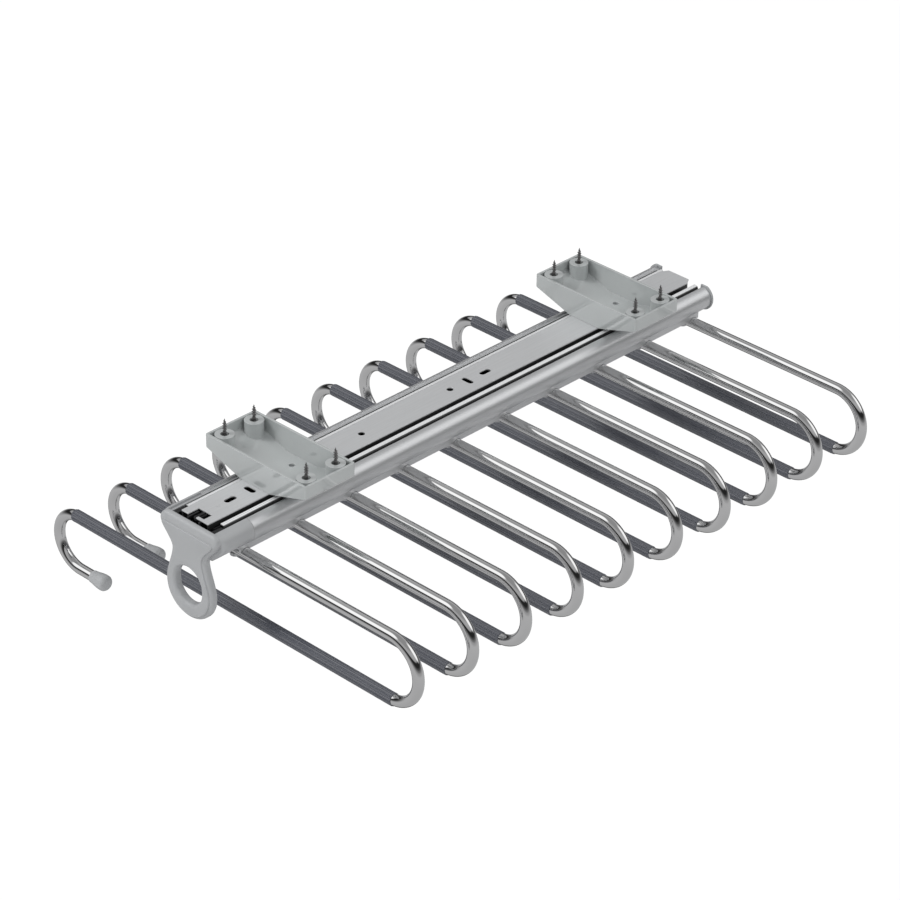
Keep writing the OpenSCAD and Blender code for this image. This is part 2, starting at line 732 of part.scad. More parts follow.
// The right half of the face, from the top corner down its shoulder and hip and round the ring
function face_half(inset) = let (
        face_x = cap_face_w / 2, waist_x = waist_w / 2, ring_r = ring_d / 2,
        shoulder = [[face_x, corner_z], [face_x, corner_z - (corner_z - waist_z) * shoulder_share],
                    [waist_x, waist_z + (corner_z - waist_z) * (1 - shoulder_share) / 2], [waist_x, waist_z]],
        hip = [[waist_x, waist_z], [waist_x, waist_z - (waist_z - ring_z) * hip_share],
               [ring_r, ring_z + (waist_z - ring_z) * (1 - hip_share) / 2], [ring_r, ring_z]])
    concat(
        [for (k = [0:curve_steps]) let (a = quarter_turn * (1 - k / curve_steps))
            [face_x, corner_z] + (cap_corner_r - inset) * [cos(a), sin(a)] - [cap_corner_r, 0]],
        [for (k = [1:curve_steps]) curve_point(shoulder, k / curve_steps) - [inset, 0]],
        [for (k = [1:curve_steps]) curve_point(hip, k / curve_steps) - [inset, 0]],
        [for (k = [1:2 * curve_steps]) let (a = -quarter_turn * k / (2 * curve_steps))
            [(ring_r - inset) * cos(a), ring_z + (ring_r - inset) * sin(a)]]);

module face_outline(inset) {
    half = face_half(inset);
    last = len(half) - 1;
    polygon(concat(half, [for (k = [1:last]) [-half[last - k][0], half[last - k][1]]]));
}

module ring_hole_outline(inset) {
    hole_r = ring_hole_d / 2 + inset;
    hole_z = ring_z + ring_hole_rise;
    for (s = [-1, 1]) translate([0, hole_z + s * ring_hole_stretch / 2]) circle(hole_r, $fn = round_fn);
    box_outline([-hole_r, hole_z - ring_hole_stretch / 2], [hole_r, hole_z + ring_hole_stretch / 2]);
}

// One layer of the cap's front
module cap_layer(y0, y1, inset) {
    along_y(y0, y1) difference() {
        face_outline(inset);
        ring_hole_outline(inset);
    }
}

// The front's edges are rounded in steps, and its top edge by one large round
module cap_front() {
    face_y = recess_y - cap_front_t;
    difference() {
        union() {
            cap_layer(face_y + cap_edge_r, recess_y - cap_edge_r, 0);
            for (k = [0:cap_steps - 1]) {
                near = cap_edge_r * sin(quarter_turn * k / cap_steps);
                far = cap_edge_r * sin(quarter_turn * (k + 1) / cap_steps);
                inset = cap_edge_r * (1 - cos(quarter_turn * (k + 1 / 2) / cap_steps));
                cap_layer(face_y + cap_edge_r - far, face_y + cap_edge_r - near, inset);
                cap_layer(recess_y - cap_edge_r + near, recess_y - cap_edge_r + far, inset);
            }
        }
        translate([0, face_y + cap_top_r, rim_z - cap_top_r]) difference() {
            translate([-channel_w / 2, -cap_top_r - cut, 0])
                cube([channel_w, cap_top_r + cut, cap_top_r + cut]);
            bar_along_x(-channel_w, channel_w, cap_top_r);
        }
    }
}

module cap_sleeve_outline(inset) {
    difference() {
        flank_outline(inset);
        recess_outline();
    }
}

module front_cap() {
    blend_y = recess_y - cap_edge_r;
    color("darkgray") union() {
        along_y(blend_y + blend_l, channel_y - tongue_l - 2 * fit_gap) cap_sleeve_outline(0);
        along_y(channel_y - tongue_l - 2 * fit_gap, channel_y - fit_gap) difference() {
            cap_sleeve_outline(0);
            box_outline([-base_x - fit_gap, skirt_z], [base_x + fit_gap, flank_z + channel_wall + fit_gap]);
        }
        for (k = [0:cap_steps - 1]) {
            start_y = blend_y + blend_l * (1 - cos(quarter_turn * k / cap_steps));
            along_y(start_y, blend_y + blend_l + fit_gap)
                cap_sleeve_outline(blend_in * (1 - sin(quarter_turn * (k + 1 / 2) / cap_steps)));
        }
        both_sides() along_y(channel_y - channel_wall, channel_y + cap_tongue_l)
            flank_chamber_outline(fit_gap);
        cap_front();
    }
}

// A rear cap closes a flank's rear end: a flange round the flank's outline and a tongue inside it
module rear_cap_outline() {
    intersection() {
        translate([flank_x, flank_centre_z]) circle(flank_r + rear_cap_rim, $fn = round_fn);
        box_outline([recess_x - rear_cap_rim, flank_z], [channel_w, rim_z + rear_cap_rim]);
    }
}

module rear_cap() {
    along_y(channel_end_y, channel_end_y + rear_cap_t) rear_cap_outline();
    along_y(channel_end_y - rear_cap_tongue_l, channel_end_y) flank_chamber_outline(fit_gap);
}

module rear_cap_left() { color("gainsboro") mirror([1, 0, 0]) rear_cap(); }
module rear_cap_right() { color("gainsboro") rear_cap(); }

// A hanger is one wire: top rod under the channel, right bend, bar, left bend and a short lower arm
module bend(r, wire, side, turn) {
    rotate([quarter_turn, 0, 0]) rotate([0, 0, side > 0 ? -quarter_turn : quarter_turn])
        rotate_extrude(angle = turn, $fn = round_fn) translate([r, 0]) wire_outline(wire);
}

module wire_outline(wire) {
    if (wire > 0) circle(wire, $fn = round_fn);
    else sleeve_outline();
}

module hanger(i) {
    color("silver") translate([0, hanger_y + (i - 1) * hanger_pitch, 0]) difference() {
        union() {
            translate([0, 0, top_rod_z]) bar_along_x(rod_end_x, bar_right, rod_r);
            translate([bar_right, 0, top_rod_z - right_bend_r]) bend(right_bend_r, rod_r, 1, half_turn);
            translate([0, 0, bar_z]) bar_along_x(-bar_left, bar_right, rod_r);
            translate([-bar_left, 0, bar_z - left_bend_r]) bend(left_bend_r, rod_r, -1, half_turn);
            translate([0, 0, lower_rod_z])
                bar_along_x(-bar_left, -bar_left + lower_arm_l - tip_end_t - fit_gap, rod_r);
        }
        at_hanger_screws() {
            translate([0, 0, top_rod_z - rod_d])
                cylinder(d = hanger_screw_d + fit_gap, h = 2 * rod_d, $fn = round_fn);
            translate([0, 0, top_rod_z - rod_r - cut])
                cylinder(d = hanger_head_d + 2 * fit_gap, h = rod_flat_h + cut, $fn = round_fn);
        }
    }
}

module hanger_screws() {
    head_z = top_rod_z - rod_r + rod_flat_h - hanger_head_h;
    shank_l = hanger_head_h + rod_d - rod_flat_h + base_floor_t + channel_wall;
    color("gray") at_hangers() at_hanger_screws() translate([0, 0, head_z]) {
        cylinder(d = hanger_head_d, h = hanger_head_h, $fn = round_fn);
        cylinder(d = hanger_screw_d, h = shank_l, $fn = round_fn);
    }
}

// A grip sleeve is a ribbed tube over the bar, whose ends run on round the bends
module sleeve_outline() {
    difference() {
        polygon([for (k = [0:2 * rib_count - 1])
            let (a = half_turn * k / rib_count, r = sleeve_d / 2 - rib_h * (k % 2))
                [r * cos(a), r * sin(a)]]);
        circle(rod_r + groove_gap, $fn = round_fn);
    }
}

module grip_sleeve(i) {
    right_turn = sleeve_overrun / right_bend_r * half_turn / PI;
    left_turn = sleeve_overrun / left_bend_r * half_turn / PI;
    color("slategray") translate([0, hanger_y + (i - 1) * hanger_pitch, 0]) union() {
        translate([-bar_left, 0, bar_z]) rotate([quarter_turn, 0, quarter_turn])
            linear_extrude(bar_left + bar_right) sleeve_outline();
        translate([bar_right, 0, top_rod_z - right_bend_r]) bend(right_bend_r, 0, 1, right_turn);
        translate([-bar_left, 0, bar_z - left_bend_r]) bend(left_bend_r, 0, -1, left_turn);
    }
}

// A tip is a flared plastic bulb pushed over the lower arm's end
module end_tip(i) {
    bore_r = rod_r + groove_gap;
    flare_l = tip_l - tip_round_r;
    end_points = [for (k = [0:curve_steps]) let (a = quarter_turn * k / curve_steps)
        [tip_d / 2 - tip_round_r + tip_round_r * cos(a), flare_l + tip_round_r * sin(a)]];
    start_x = -bar_left + lower_arm_l - tip_l;
    color("gainsboro") translate([start_x, hanger_y + (i - 1) * hanger_pitch, lower_rod_z])
        rotate([0, quarter_turn, 0]) rotate_extrude($fn = round_fn) polygon(concat(
            [[bore_r, 0], [tip_neck_d / 2, 0], [tip_neck_d / 2 + fit_gap, tip_l / 4]],
            end_points, [[0, tip_l], [0, tip_l - tip_end_t], [bore_r, tip_l - tip_end_t]]));
}

front_bracket();
rear_bracket();
front_bracket_screws();
rear_bracket_screws();
slide_screws();
top_rail();
middle_rail();
bottom_rail();
upper_ball_cage();
lower_ball_cage();
upper_balls();
lower_balls();
release_lever();
lever_rivet();
front_buffer();
rail_screws();
channel();
front_cap();
rear_cap_left();
rear_cap_right();
hanger_screws();
for (i = [1:hanger_count]) {
    hanger(i);
    grip_sleeve(i);
    end_tip(i);
}
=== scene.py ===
"""Dresses the frame of a pull out trouser rack: finishes, formed pieces over some parts, and a studio."""
import math

import bmesh
import bpy
import numpy as np
from bpy.props import FloatProperty, FloatVectorProperty, IntProperty, PointerProperty
from mathutils import Euler, Matrix, Vector
from mathutils.geometry import tessellate_polygon


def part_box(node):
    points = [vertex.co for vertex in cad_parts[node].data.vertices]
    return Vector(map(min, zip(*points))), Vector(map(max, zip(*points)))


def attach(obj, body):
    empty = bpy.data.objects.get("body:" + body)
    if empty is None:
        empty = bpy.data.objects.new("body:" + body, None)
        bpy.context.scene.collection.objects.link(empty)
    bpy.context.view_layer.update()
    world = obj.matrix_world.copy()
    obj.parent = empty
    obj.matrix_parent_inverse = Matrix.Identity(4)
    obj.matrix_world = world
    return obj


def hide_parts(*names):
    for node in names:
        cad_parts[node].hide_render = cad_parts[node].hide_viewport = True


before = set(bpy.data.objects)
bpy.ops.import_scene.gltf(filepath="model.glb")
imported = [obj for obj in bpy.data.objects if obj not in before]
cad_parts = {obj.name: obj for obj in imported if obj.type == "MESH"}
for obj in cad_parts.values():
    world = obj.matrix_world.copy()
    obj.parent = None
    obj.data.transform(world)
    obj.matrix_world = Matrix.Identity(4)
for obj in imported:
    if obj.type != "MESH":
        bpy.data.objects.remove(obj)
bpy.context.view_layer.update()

bl_info = {
    "name": "Pull out trouser rack",
    "version": (1, 0, 0),
    "blender": (4, 5, 0),
    "location": "View3D > Sidebar > Trouser rack",
    "description": "Finishes and formed pieces for a pull out trouser rack",
    "category": "Add Mesh",
}

HANGER_COUNT = sum(1 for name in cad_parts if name.startswith("hanger_") and name[7:].isdigit())

# Points nearer to each other than this are one point.
MERGE_DISTANCE = 2e-6

# Painted shade in the slide's gaps and on the rails' sides: how far under a rail's top it starts, and the
# share of the colour left there.
PLATE_PAINTED_SHADE = (0.0006, 0.05)
BOTTOM_RAIL_PAINTED_SHADE = (0.0003, 0.04)
PAINTED_SHADE_FADE = 0.0003

# Points along the top, round a corner and along each curve of the cap's outline.
CAP_TOP_STEPS, CAP_CORNER_STEPS, CAP_SIDE_STEPS = 16, 12, 40

# The panel's edge on the cap, as shares of its width and of its rise.
PANEL_EDGE = np.array([[0.0, 0.0], [0.08, 0.3], [0.2, 0.62], [0.42, 0.88], [0.7, 0.98], [1.0, 1.0]])

# A wood screw's head from the middle of its recess outwards: radius, and height over the head's lowest face.
SCREW_RECESS = np.array([[0.0, 0.0013], [0.0006, 0.0012], [0.0012, 0.0001], [0.0022, 0.0], [0.0030, 0.0003]])

# The wood screws' thread. The point's taper has this power. The ridge is full until the taper falls under
# 1 / RIDGE_RATE, and the plain shank narrows to the core within 1 / CORE_RATE of a pitch.
POINT_POWER, RIDGE_RATE, CORE_RATE = 0.85, 1.25, 3

# The half wave of a tip's neck is full at 1 / SWELL_RATE of its way.
SWELL_RATE = 1.15

# Nearly all of a noise's values lie in this range.
NOISE_RANGE = (0.3, 0.7)

# What glossy surfaces see of the studio, by height from straight down at 0 to straight up at 1.
STUDIO_LEVELS = [(0.0, 0.44), (0.36, 0.48), (0.44, 0.36), (0.50, 0.18), (0.55, 0.07), (0.60, 0.02),
                 (0.68, 0.02), (0.735, 0.40), (0.85, 0.44), (0.94, 0.30), (1.0, 0.30)]
# The soft boxes and the dark panel: a direction, and the cosines of its inner and outer edge.
FRONT_BOX = ((-0.53, -0.48, 0.69), 0.965, 0.90)
RIGHT_BOX = ((0.52, 0.60, 0.61), 0.965, 0.88)
DARK_PANEL = ((-0.59, 0.34, -0.73), 0.965, 0.88)
BOX_LEVEL, PANEL_LEVEL = 1.15, 0.10

# The lights: the place and the width of each disc, and the point that both are turned to.
KEY_LIGHT = ((-1.5, -1.7, 2.1), 1.7)
FILL_LIGHT = ((2.2, -0.6, 1.5), 1.6)
LIT_POINT = (0.0, 0.15, -0.05)

# The camera, solved from the photograph's edges: its place, and its turns about X, Y and Z in degrees.
CAMERA_PLACE = (1.371815, -1.278648, 1.124188)
CAMERA_TURNS = (59.03668, -0.80148, 44.28192)
SENSOR_WIDTH = 36.0
# The photograph's side in pixels, and the last half pixel between it and the solved camera.
PHOTO_SIDE, SHIFT_RIGHT, SHIFT_DOWN = 900, 0.4, 0.5


def length(name, description, default):
    """A size in metres."""
    return FloatProperty(name=name, description=description, default=default, min=0.0, precision=5,
                         unit="LENGTH", subtype="DISTANCE")


def share(name, description, default):
    """A plain number from 0 to 1."""
    return FloatProperty(name=name, description=description, default=default, min=0.0, max=1.0,
                         subtype="FACTOR")


def colour(name, description, default):
    """A colour in linear light."""
    return FloatVectorProperty(name=name, description=description, default=default, size=3, min=0.0, max=1.0,
                               subtype="COLOR")


class HangerSizes(bpy.types.PropertyGroup):
    wire: length("Wire", "Diameter of the hanger wire", 0.0075)
    right_centre: length("Right bends", "From the centre line to the right bends' centres", 0.1445)
    left_centre: length("Left bends", "From the centre line to the left bends' centres", 0.1425)
    right_bend: length("Right bend radius", "Radius of the right bends at the wire's centre", 0.0227)
    left_bend: length("Left bend radius", "Radius of the left bends at the wire's centre", 0.0202)
    rod_start: length("Rod start", "From the centre line to the top rods' hidden ends", 0.0156)
    lower_arm: length("Lower arm", "From the left bends' centres to the ends of the tips", 0.0265)
    tip_cover: length("Tip cover", "From the end of a tip back to the end of its wire", 0.0041)
    end_round: length("End rounding", "Rounding of the wire's cut ends", 0.0006)
    bend_steps: IntProperty(name="Bend steps", description="Rings round each bend", default=40, min=8, max=96)
    round_steps: IntProperty(name="Round steps", description="Points round the wire", default=40, min=12,
                             max=96)


class SleeveSizes(bpy.types.PropertyGroup):
    outer: length("Sleeve diameter", "Diameter over the ribs", 0.0086)
    rib_height: length("Rib height", "Height of the ribs", 0.0003)
    overrun: length("Overrun", "How far a sleeve runs on round each bend", 0.003)
    lip: length("Lip", "Rounding of a sleeve's ends", 0.0003)
    clearance: length("Clearance", "Space between a sleeve and its wire", 0.00004)
    ribs: IntProperty(name="Ribs", description="Number of ribs round a sleeve", default=20, min=12, max=24)


class TipSizes(bpy.types.PropertyGroup):
    neck: length("Neck", "Diameter of a tip's neck", 0.0086)
    bulb: length("Bulb", "Largest diameter of a tip", 0.011)
    long: length("Length", "Length of a tip", 0.0145)
    rounding: length("Rounding", "Rounding of a tip's end", 0.0032)
    mouth: length("Mouth", "How far the hole for the wire is open", 0.0008)
    neck_edge: length("Neck edge", "How far the neck's edge is drawn in", 0.00015)


class CapSizes(bpy.types.PropertyGroup):
    face_width: length("Face width", "Width of the cap's front at the top", 0.051)
    corner: length("Corner", "Corner radius of the front", 0.005)
    waist: length("Waist", "Width of the handle's waist", 0.030)
    waist_drop: length("Waist drop", "Depth of the waist under the rim", 0.022)
    ring: length("Ring", "Width of the pull ring", 0.042)
    ring_drop: length("Ring drop", "Depth of the ring's centre under the rim", 0.0468)
    hole: length("Hole", "Width of the hole in the ring", 0.024)
    hole_stretch: length("Hole stretch", "How much taller than wide the hole is", 0.0022)
    hole_rise: length("Hole rise", "How far the hole's centre lies above the ring's", 0.0026)
    thickness: length("Thickness", "Thickness of the front", 0.0063)
    side_round: length("Side rounding", "Rounding of the front's edge at the sides and the ring", 0.0021)
    top_round: length("Top rounding", "Height of the rounded bevel at the top", 0.0055)
    top_depth: length("Top depth", "Depth of the rounded bevel at the top", 0.0035)
    panel_rise: length("Panel rise", "How far the flat panel stands out of the rounded edge", 0.0009)
    panel_step: length("Panel step", "Width of the panel's own edge", 0.0007)
    panel_corner: length("Panel corner", "Corner radius of the panel", 0.0016)
    shoulder_start: share("Shoulder start", "Pull of the shoulder's curve at its upper end", 0.36)
    shoulder_end: share("Shoulder end", "Pull of the shoulder's curve at the waist", 0.32)
    hip_start: share("Hip start", "Pull of the hip's curve at the waist", 0.30)
    hip_end: share("Hip end", "Pull of the hip's curve at the ring", 0.35)
    rear_round: length("Rear rounding", "Rounding of the front's rear edge", 0.0011)
    hole_round: length("Hole rounding", "Rounding of the hole's front edge", 0.0022)
    rim_drop: length("Rim drop", "Depth of the channel's rim under the plate's face", 0.0025)
    flank_round: length("Flank curve", "Radius of the flanks' curve", 0.00855)
    flank_drop: length("Flank drop", "Depth of the flanks' centre under the rim", 0.00775)
    flank_height: length("Flank height", "Height of the flanks under the rim", 0.0205)
    recess: length("Recess", "From the centre line to the recess's walls", 0.019)
    ledge: length("Ledge", "Width of the ledge beside the recess", 0.0021)
    ledge_drop: length("Ledge drop", "Depth of that ledge under the rim", 0.0006)
    base: length("Base", "From the centre line to the base's sides", 0.0176)
    tongue: length("Tongue", "How far the channel's base runs on under the sleeve", 0.003)
    blend: length("Blend length", "Length over which the sleeve rounds in to the front", 0.004)
    blend_in: length("Blend", "How far the sleeve's sides round in", 0.0023)
    recess_soft: length("Recess softening", "Cut of the corners at the recess's floor", 0.0002)
    ledge_soft: length("Ledge softening", "Cut of the corners outside the ledges", 0.0001)
    base_soft: length("Base softening", "Cut of the corners at the base", 0.0013)
    end_gap: length("End gap", "How far the sleeve stays short of the tongue's end", 0.0001)
    end_bevel: length("End bevel", "Length of the bevel at the sleeve's rear end", 0.0003)
    end_in: length("End bevel depth", "How far that bevel draws the sides in", 0.00012)


class ScrewSizes(bpy.types.PropertyGroup):
    shank: length("Shank", "Diameter over the wood screws' thread", 0.003)
    core: length("Core", "Diameter of the thread's core", 0.0016)
    head: length("Head", "Diameter of the wood screws' heads", 0.0068)
    head_height: length("Head height", "Height of the wood screws' heads", 0.0022)
    ledge: length("Ledge", "Thickness of the boss's ledge over the head", 0.004)
    standing: length("Standing out", "How far a screw stands out of its bracket", 0.011)
    plain: length("Plain shank", "Length of the plain shank over the bracket", 0.0012)
    pitch: length("Pitch", "Pitch of the thread", 0.0018)
    point: length("Point", "Length of the tapering point", 0.0042)
    head_bevel: length("Head bevel", "Bevel of the head's lower edge", 0.00015)
    head_bevel_low: length("Head bevel start", "Where that bevel starts, over the head's lowest face", 0.0009)
    head_bevel_high: length("Head bevel end", "Where it ends, over the head's lowest face", 0.0013)
    head_edge: length("Head edge", "Cut of the head's upper edge", 0.0001)
    plain_share: share("Plain share", "Width of the plain shank as a share of the thread's", 0.86)
    ridge_share: share("Ridge share", "Half the width of the thread's ridge as a share of the pitch", 0.34)


class EdgeSizes(bpy.types.PropertyGroup):
    bracket: length("Brackets", "Rounding of the brackets' edges", 0.00022)
    plate: length("Top rail", "Rounding of the top rail's edges", 0.00018)
    lip: length("Bottom rail", "Rounding of the bottom rail's edges", 0.00015)
    buffer: length("Buffer", "Rounding of the buffer's edges", 0.00015)
    lever: length("Lever", "Rounding of the release lever's edges", 0.0002)
    channel: length("Channel", "Rounding of the channel's edges", 0.0002)
    rear_cap: length("Rear caps", "Rounding of the rear caps' edges", 0.0004)


class Finishes(bpy.types.PropertyGroup):
    bracket: colour("Brackets", "Light grey glossy plastic", (0.46, 0.485, 0.485))
    cap: colour("Front cap", "Fine textured grey plastic", (0.40, 0.41, 0.42))
    black: colour("Buffer and lever", "Black plastic", (0.012, 0.012, 0.013))
    sleeve: colour("Grip sleeves", "Blue grey rubber", (0.062, 0.067, 0.086))
    tip: colour("Tips", "Light grey plastic", (0.42, 0.43, 0.44))
    chrome: colour("Hangers", "Chrome plating", (0.80, 0.80, 0.80))
    aluminium: colour("Channel", "Satin anodised aluminium", (0.76, 0.77, 0.78))
    plate: colour("Top rail", "Satin zinc plating", (0.70, 0.71, 0.72))
    lip: colour("Bottom rail", "Bright zinc plating", (0.93, 0.94, 0.95))
    # The middle rail's near black is partly its grease and partly painted shade, which keeps the slide's gap
    # dark.
    inner_rail_grease_and_shade: colour("Middle rail", "Greased zinc plating, darkened as painted shade", (0.07, 0.07, 0.075))
    cage: colour("Ball cages", "Dark oiled steel", (0.10, 0.10, 0.11))
    ball: colour("Balls", "Polished steel", (0.80, 0.80, 0.81))
    zinc_screw: colour("Slide screws", "Zinc plated steel", (0.60, 0.61, 0.62))
    wood_screw: colour("Wood screws", "Dark plated steel", (0.23, 0.225, 0.225))


class StageSizes(bpy.types.PropertyGroup):
    floor_drop: length("Floor", "Height of the origin over the floor", 0.36)
    floor_width: length("Floor width", "Width of the floor", 14.0)
    floor_white: share("Floor white", "Share of plain white in what the camera sees of the floor", 0.80)
    floor_grey: share("Floor grey", "The floor's own paint", 0.86)
    floor_level: FloatProperty(name="Floor level", description="Strength of that white", default=1.1, min=0.0)
    lens: FloatProperty(name="Lens", description="Focal length in mm on a 36 mm wide frame", default=141.188,
                        min=1.0)
    level: share("Light level", "The world's even light on the object", 0.70)
    key_power: FloatProperty(name="Key light", description="Power of the key light", default=46.0, min=0.0,
                             unit="POWER")
    fill_power: FloatProperty(name="Fill light", description="Power of the fill light", default=16.0, min=0.0,
                              unit="POWER")


def surface(points):
    """A row of closed loops of points, loops by points by 3, as the points and the faces of a mesh."""
    rows, columns = points.shape[:2]
    row, column = np.meshgrid(np.arange(rows - 1) * columns, np.arange(columns), indexing="ij")
    after = (column + 1) % columns
    corners = [row + column, row + after, row + columns + after, row + columns + column]
    return points.reshape(-1, 3), np.stack(corners, -1).reshape(-1, 4).tolist()


def flat_fill(outer, *holes):
    """A flat face between closed loops of points, n by 3 each, cut into triangles."""
    loops = [outer, *holes]
    triangles = tessellate_polygon([[Vector(p) for p in loop] for loop in loops])
    return np.concatenate(loops), [list(t) for t in triangles]


def new_piece(name, parts, body, material, replaced, crease=math.radians(38)):
    """Joins parts into one mesh, doubles merged and faces turned outwards, and hands it to the frame."""
    offsets = np.cumsum([0] + [len(p) for p, _ in parts[:-1]])
    mesh = bpy.data.meshes.new(name)
    mesh.from_pydata(np.concatenate([p for p, _ in parts]).tolist(), [],
                     [[i + int(o) for i in f] for (_, faces), o in zip(parts, offsets) for f in faces])
    work = bmesh.new()
    work.from_mesh(mesh)
    bmesh.ops.remove_doubles(work, verts=work.verts, dist=MERGE_DISTANCE)
    bmesh.ops.dissolve_degenerate(work, edges=work.edges, dist=1e-7)
    bmesh.ops.recalc_face_normals(work, faces=work.faces)
    work.to_mesh(mesh)
    work.free()
    mesh.shade_smooth()
    mesh.set_sharp_from_angle(angle=crease)
    mesh.materials.append(material)
    piece = bpy.data.objects.new(name, mesh)
    bpy.context.scene.collection.objects.link(piece)
    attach(piece, body)
    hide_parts(replaced)


def softened(node, body, material, width):
    """A copy of a CAD part whose doubles are merged and whose edges are rounded by a Bevel."""
    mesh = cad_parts[node].data.copy()
    mesh.name = node + "_soft"
    if "custom_normal" in mesh.attributes:
        mesh.attributes.remove(mesh.attributes["custom_normal"])
    work = bmesh.new()
    work.from_mesh(mesh)
    bmesh.ops.remove_doubles(work, verts=work.verts, dist=MERGE_DISTANCE)
    bmesh.ops.dissolve_degenerate(work, edges=work.edges, dist=1e-6)
    bmesh.ops.dissolve_limit(work, angle_limit=math.radians(0.6), verts=work.verts, edges=work.edges)
    work.to_mesh(mesh)
    work.free()
    mesh.shade_smooth()
    mesh.materials.clear()
    mesh.materials.append(material)
    piece = bpy.data.objects.new(node + "_soft", mesh)
    bpy.context.scene.collection.objects.link(piece)
    bevel = piece.modifiers.new("Rounded edges", "BEVEL")
    bevel.width, bevel.segments = width, 2
    bevel.limit_method, bevel.angle_limit = "ANGLE", math.radians(32)
    bevel.use_clamp_overlap = False
    bevel.harden_normals = True
    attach(piece, body)
    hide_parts(node)


def dress(material, *nodes):
    """Gives CAD parts a material in their own slots."""
    for name in nodes:
        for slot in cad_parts[name].material_slots:
            slot.material = material


def tree_of(item):
    """The nodes and links of a material or a world."""
    return item.node_tree.nodes, item.node_tree.links


def remapped(nodes, links, value, low, high, to_low=0.0, to_high=1.0, way="LINEAR"):
    """A value moved from one range to another, and kept within it."""
    node = nodes.new("ShaderNodeMapRange")
    node.interpolation_type = way
    for socket, amount in (("From Min", low), ("From Max", high), ("To Min", to_low), ("To Max", to_high)):
        node.inputs[socket].default_value = amount
    links.new(value, node.inputs["Value"])
    return node.outputs["Result"]


def larger(nodes, links, first, second):
    """The larger of two values."""
    node = nodes.new("ShaderNodeMath")
    node.operation = "MAXIMUM"
    links.new(first, node.inputs[0])
    links.new(second, node.inputs[1])
    return node.outputs["Value"]


def towards_grey(nodes, links, amount, colour_in, grey):
    """A colour that an amount from 0 to 1 moves to an even grey."""
    node = nodes.new("ShaderNodeMixRGB")
    node.inputs["Color2"].default_value = (grey, grey, grey, 1.0)
    links.new(amount, node.inputs["Fac"])
    links.new(colour_in, node.inputs["Color1"])
    return node.outputs["Color"]


def finish(name, base, roughness, metallic=0.0, **sockets):
    """A Principled material whose even values sit on the shader's own sockets."""
    material = bpy.data.materials.new(name)
    material.use_nodes = True
    shader = material.node_tree.nodes["Principled BSDF"]
    shader.inputs["Base Color"].default_value = (*base, 1.0)
    shader.inputs["Roughness"].default_value = roughness
    shader.inputs["Metallic"].default_value = metallic
    for socket, value in sockets.items():
        shader.inputs[socket.replace("_", " ")].default_value = value
    return material


def grain(material, scale, stretch=(1.0, 1.0, 1.0), detail=3.0):
    """Noise on Object coordinates, with this many grains to a metre along each axis: scale times stretch."""
    nodes, links = tree_of(material)
    place = nodes.new("ShaderNodeTexCoord")
    mapping = nodes.new("ShaderNodeMapping")
    mapping.inputs["Scale"].default_value = stretch
    noise = nodes.new("ShaderNodeTexNoise")
    noise.inputs["Scale"].default_value = scale
    noise.inputs["Detail"].default_value = detail
    links.new(place.outputs["Object"], mapping.inputs["Vector"])
    links.new(mapping.outputs["Vector"], noise.inputs["Vector"])
    return noise.outputs["Fac"]


def vary_roughness(material, pattern, low, high):
    """Lets a pattern move the roughness between two values."""
    nodes, links = tree_of(material)
    spread = remapped(nodes, links, pattern, *NOISE_RANGE, low, high)
    links.new(spread, nodes["Principled BSDF"].inputs["Roughness"])


def vary_colour(material, pattern, low, high):
    """Lets a pattern move the base colour between two shares of itself."""
    nodes, links = tree_of(material)
    base = np.array(nodes["Principled BSDF"].inputs["Base Color"].default_value[:3])
    ramp = nodes.new("ShaderNodeValToRGB")
    for stop, place, amount in zip(ramp.color_ramp.elements, NOISE_RANGE, (low, high)):
        stop.position = place
        stop.color = (*np.minimum(base * amount, 1.0), 1.0)
    links.new(pattern, ramp.inputs["Fac"])
    links.new(ramp.outputs["Color"], nodes["Principled BSDF"].inputs["Base Color"])


def bump(material, pattern, height):
    """Raises the surface by a pattern, to a height in metres."""
    nodes, links = tree_of(material)
    relief = nodes.new("ShaderNodeBump")
    relief.inputs["Distance"].default_value = height
    relief.inputs["Strength"].default_value = 1.0
    links.new(pattern, relief.inputs["Height"])
    links.new(relief.outputs["Normal"], nodes["Principled BSDF"].inputs["Normal"])


def moulded_plastic(name, base, roughness, fineness, height, **sockets):
    """Plastic with the fine spark texture of its mould, and faint flow marks."""
    material = finish(name, base, roughness, **sockets)
    texture = grain(material, fineness, detail=2.0)
    bump(material, texture, height)
    vary_colour(material, grain(material, 60.0), 0.97, 1.02)
    vary_roughness(material, grain(material, 240.0), roughness * 0.88, roughness * 1.12)
    return material


def drawn_metal(name, base, roughness, metallic=1.0, height=1.5e-6, across=2600.0, along=6.0):
    """Metal drawn or rolled along Y, with fine lines that run lengthwise."""
    material = finish(name, base, roughness, metallic=metallic)
    lines = grain(material, 1.0, (across, along, across))
    bump(material, lines, height)
    vary_colour(material, lines, 0.96, 1.03)
    vary_roughness(material, lines, roughness * 0.92, roughness * 1.08)
    return material


def paint_shade_below(material, top, drop, amount):
    """Paints shade: darkens the colour to a share of itself from a drop under the top downwards, over a short
    fade. This painted shade makes the slide's narrow gaps black, and also the rails' sides and inner faces,
    which the open slide shows."""
    nodes, links = tree_of(material)
    base = nodes["Principled BSDF"].inputs["Base Color"]
    plain = base.links[0].from_socket
    place = nodes.new("ShaderNodeTexCoord")
    axes = nodes.new("ShaderNodeSeparateXYZ")
    links.new(place.outputs["Object"], axes.inputs["Vector"])
    level = remapped(nodes, links, axes.outputs["Z"], top - drop - PAINTED_SHADE_FADE, top - drop, amount)
    shaded = nodes.new("ShaderNodeVectorMath")
    shaded.operation = "SCALE"
    links.new(plain, shaded.inputs["Vector"])
    links.new(level, shaded.inputs["Scale"])
    links.new(shaded.outputs["Vector"], base)


def hanger_row():
    """The Y of each hanger, from the middle of its packed box."""
    boxes = [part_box(f"hanger_{i + 1}") for i in range(HANGER_COUNT)]
    return [(low[1] + high[1]) / 2 for low, high in boxes]


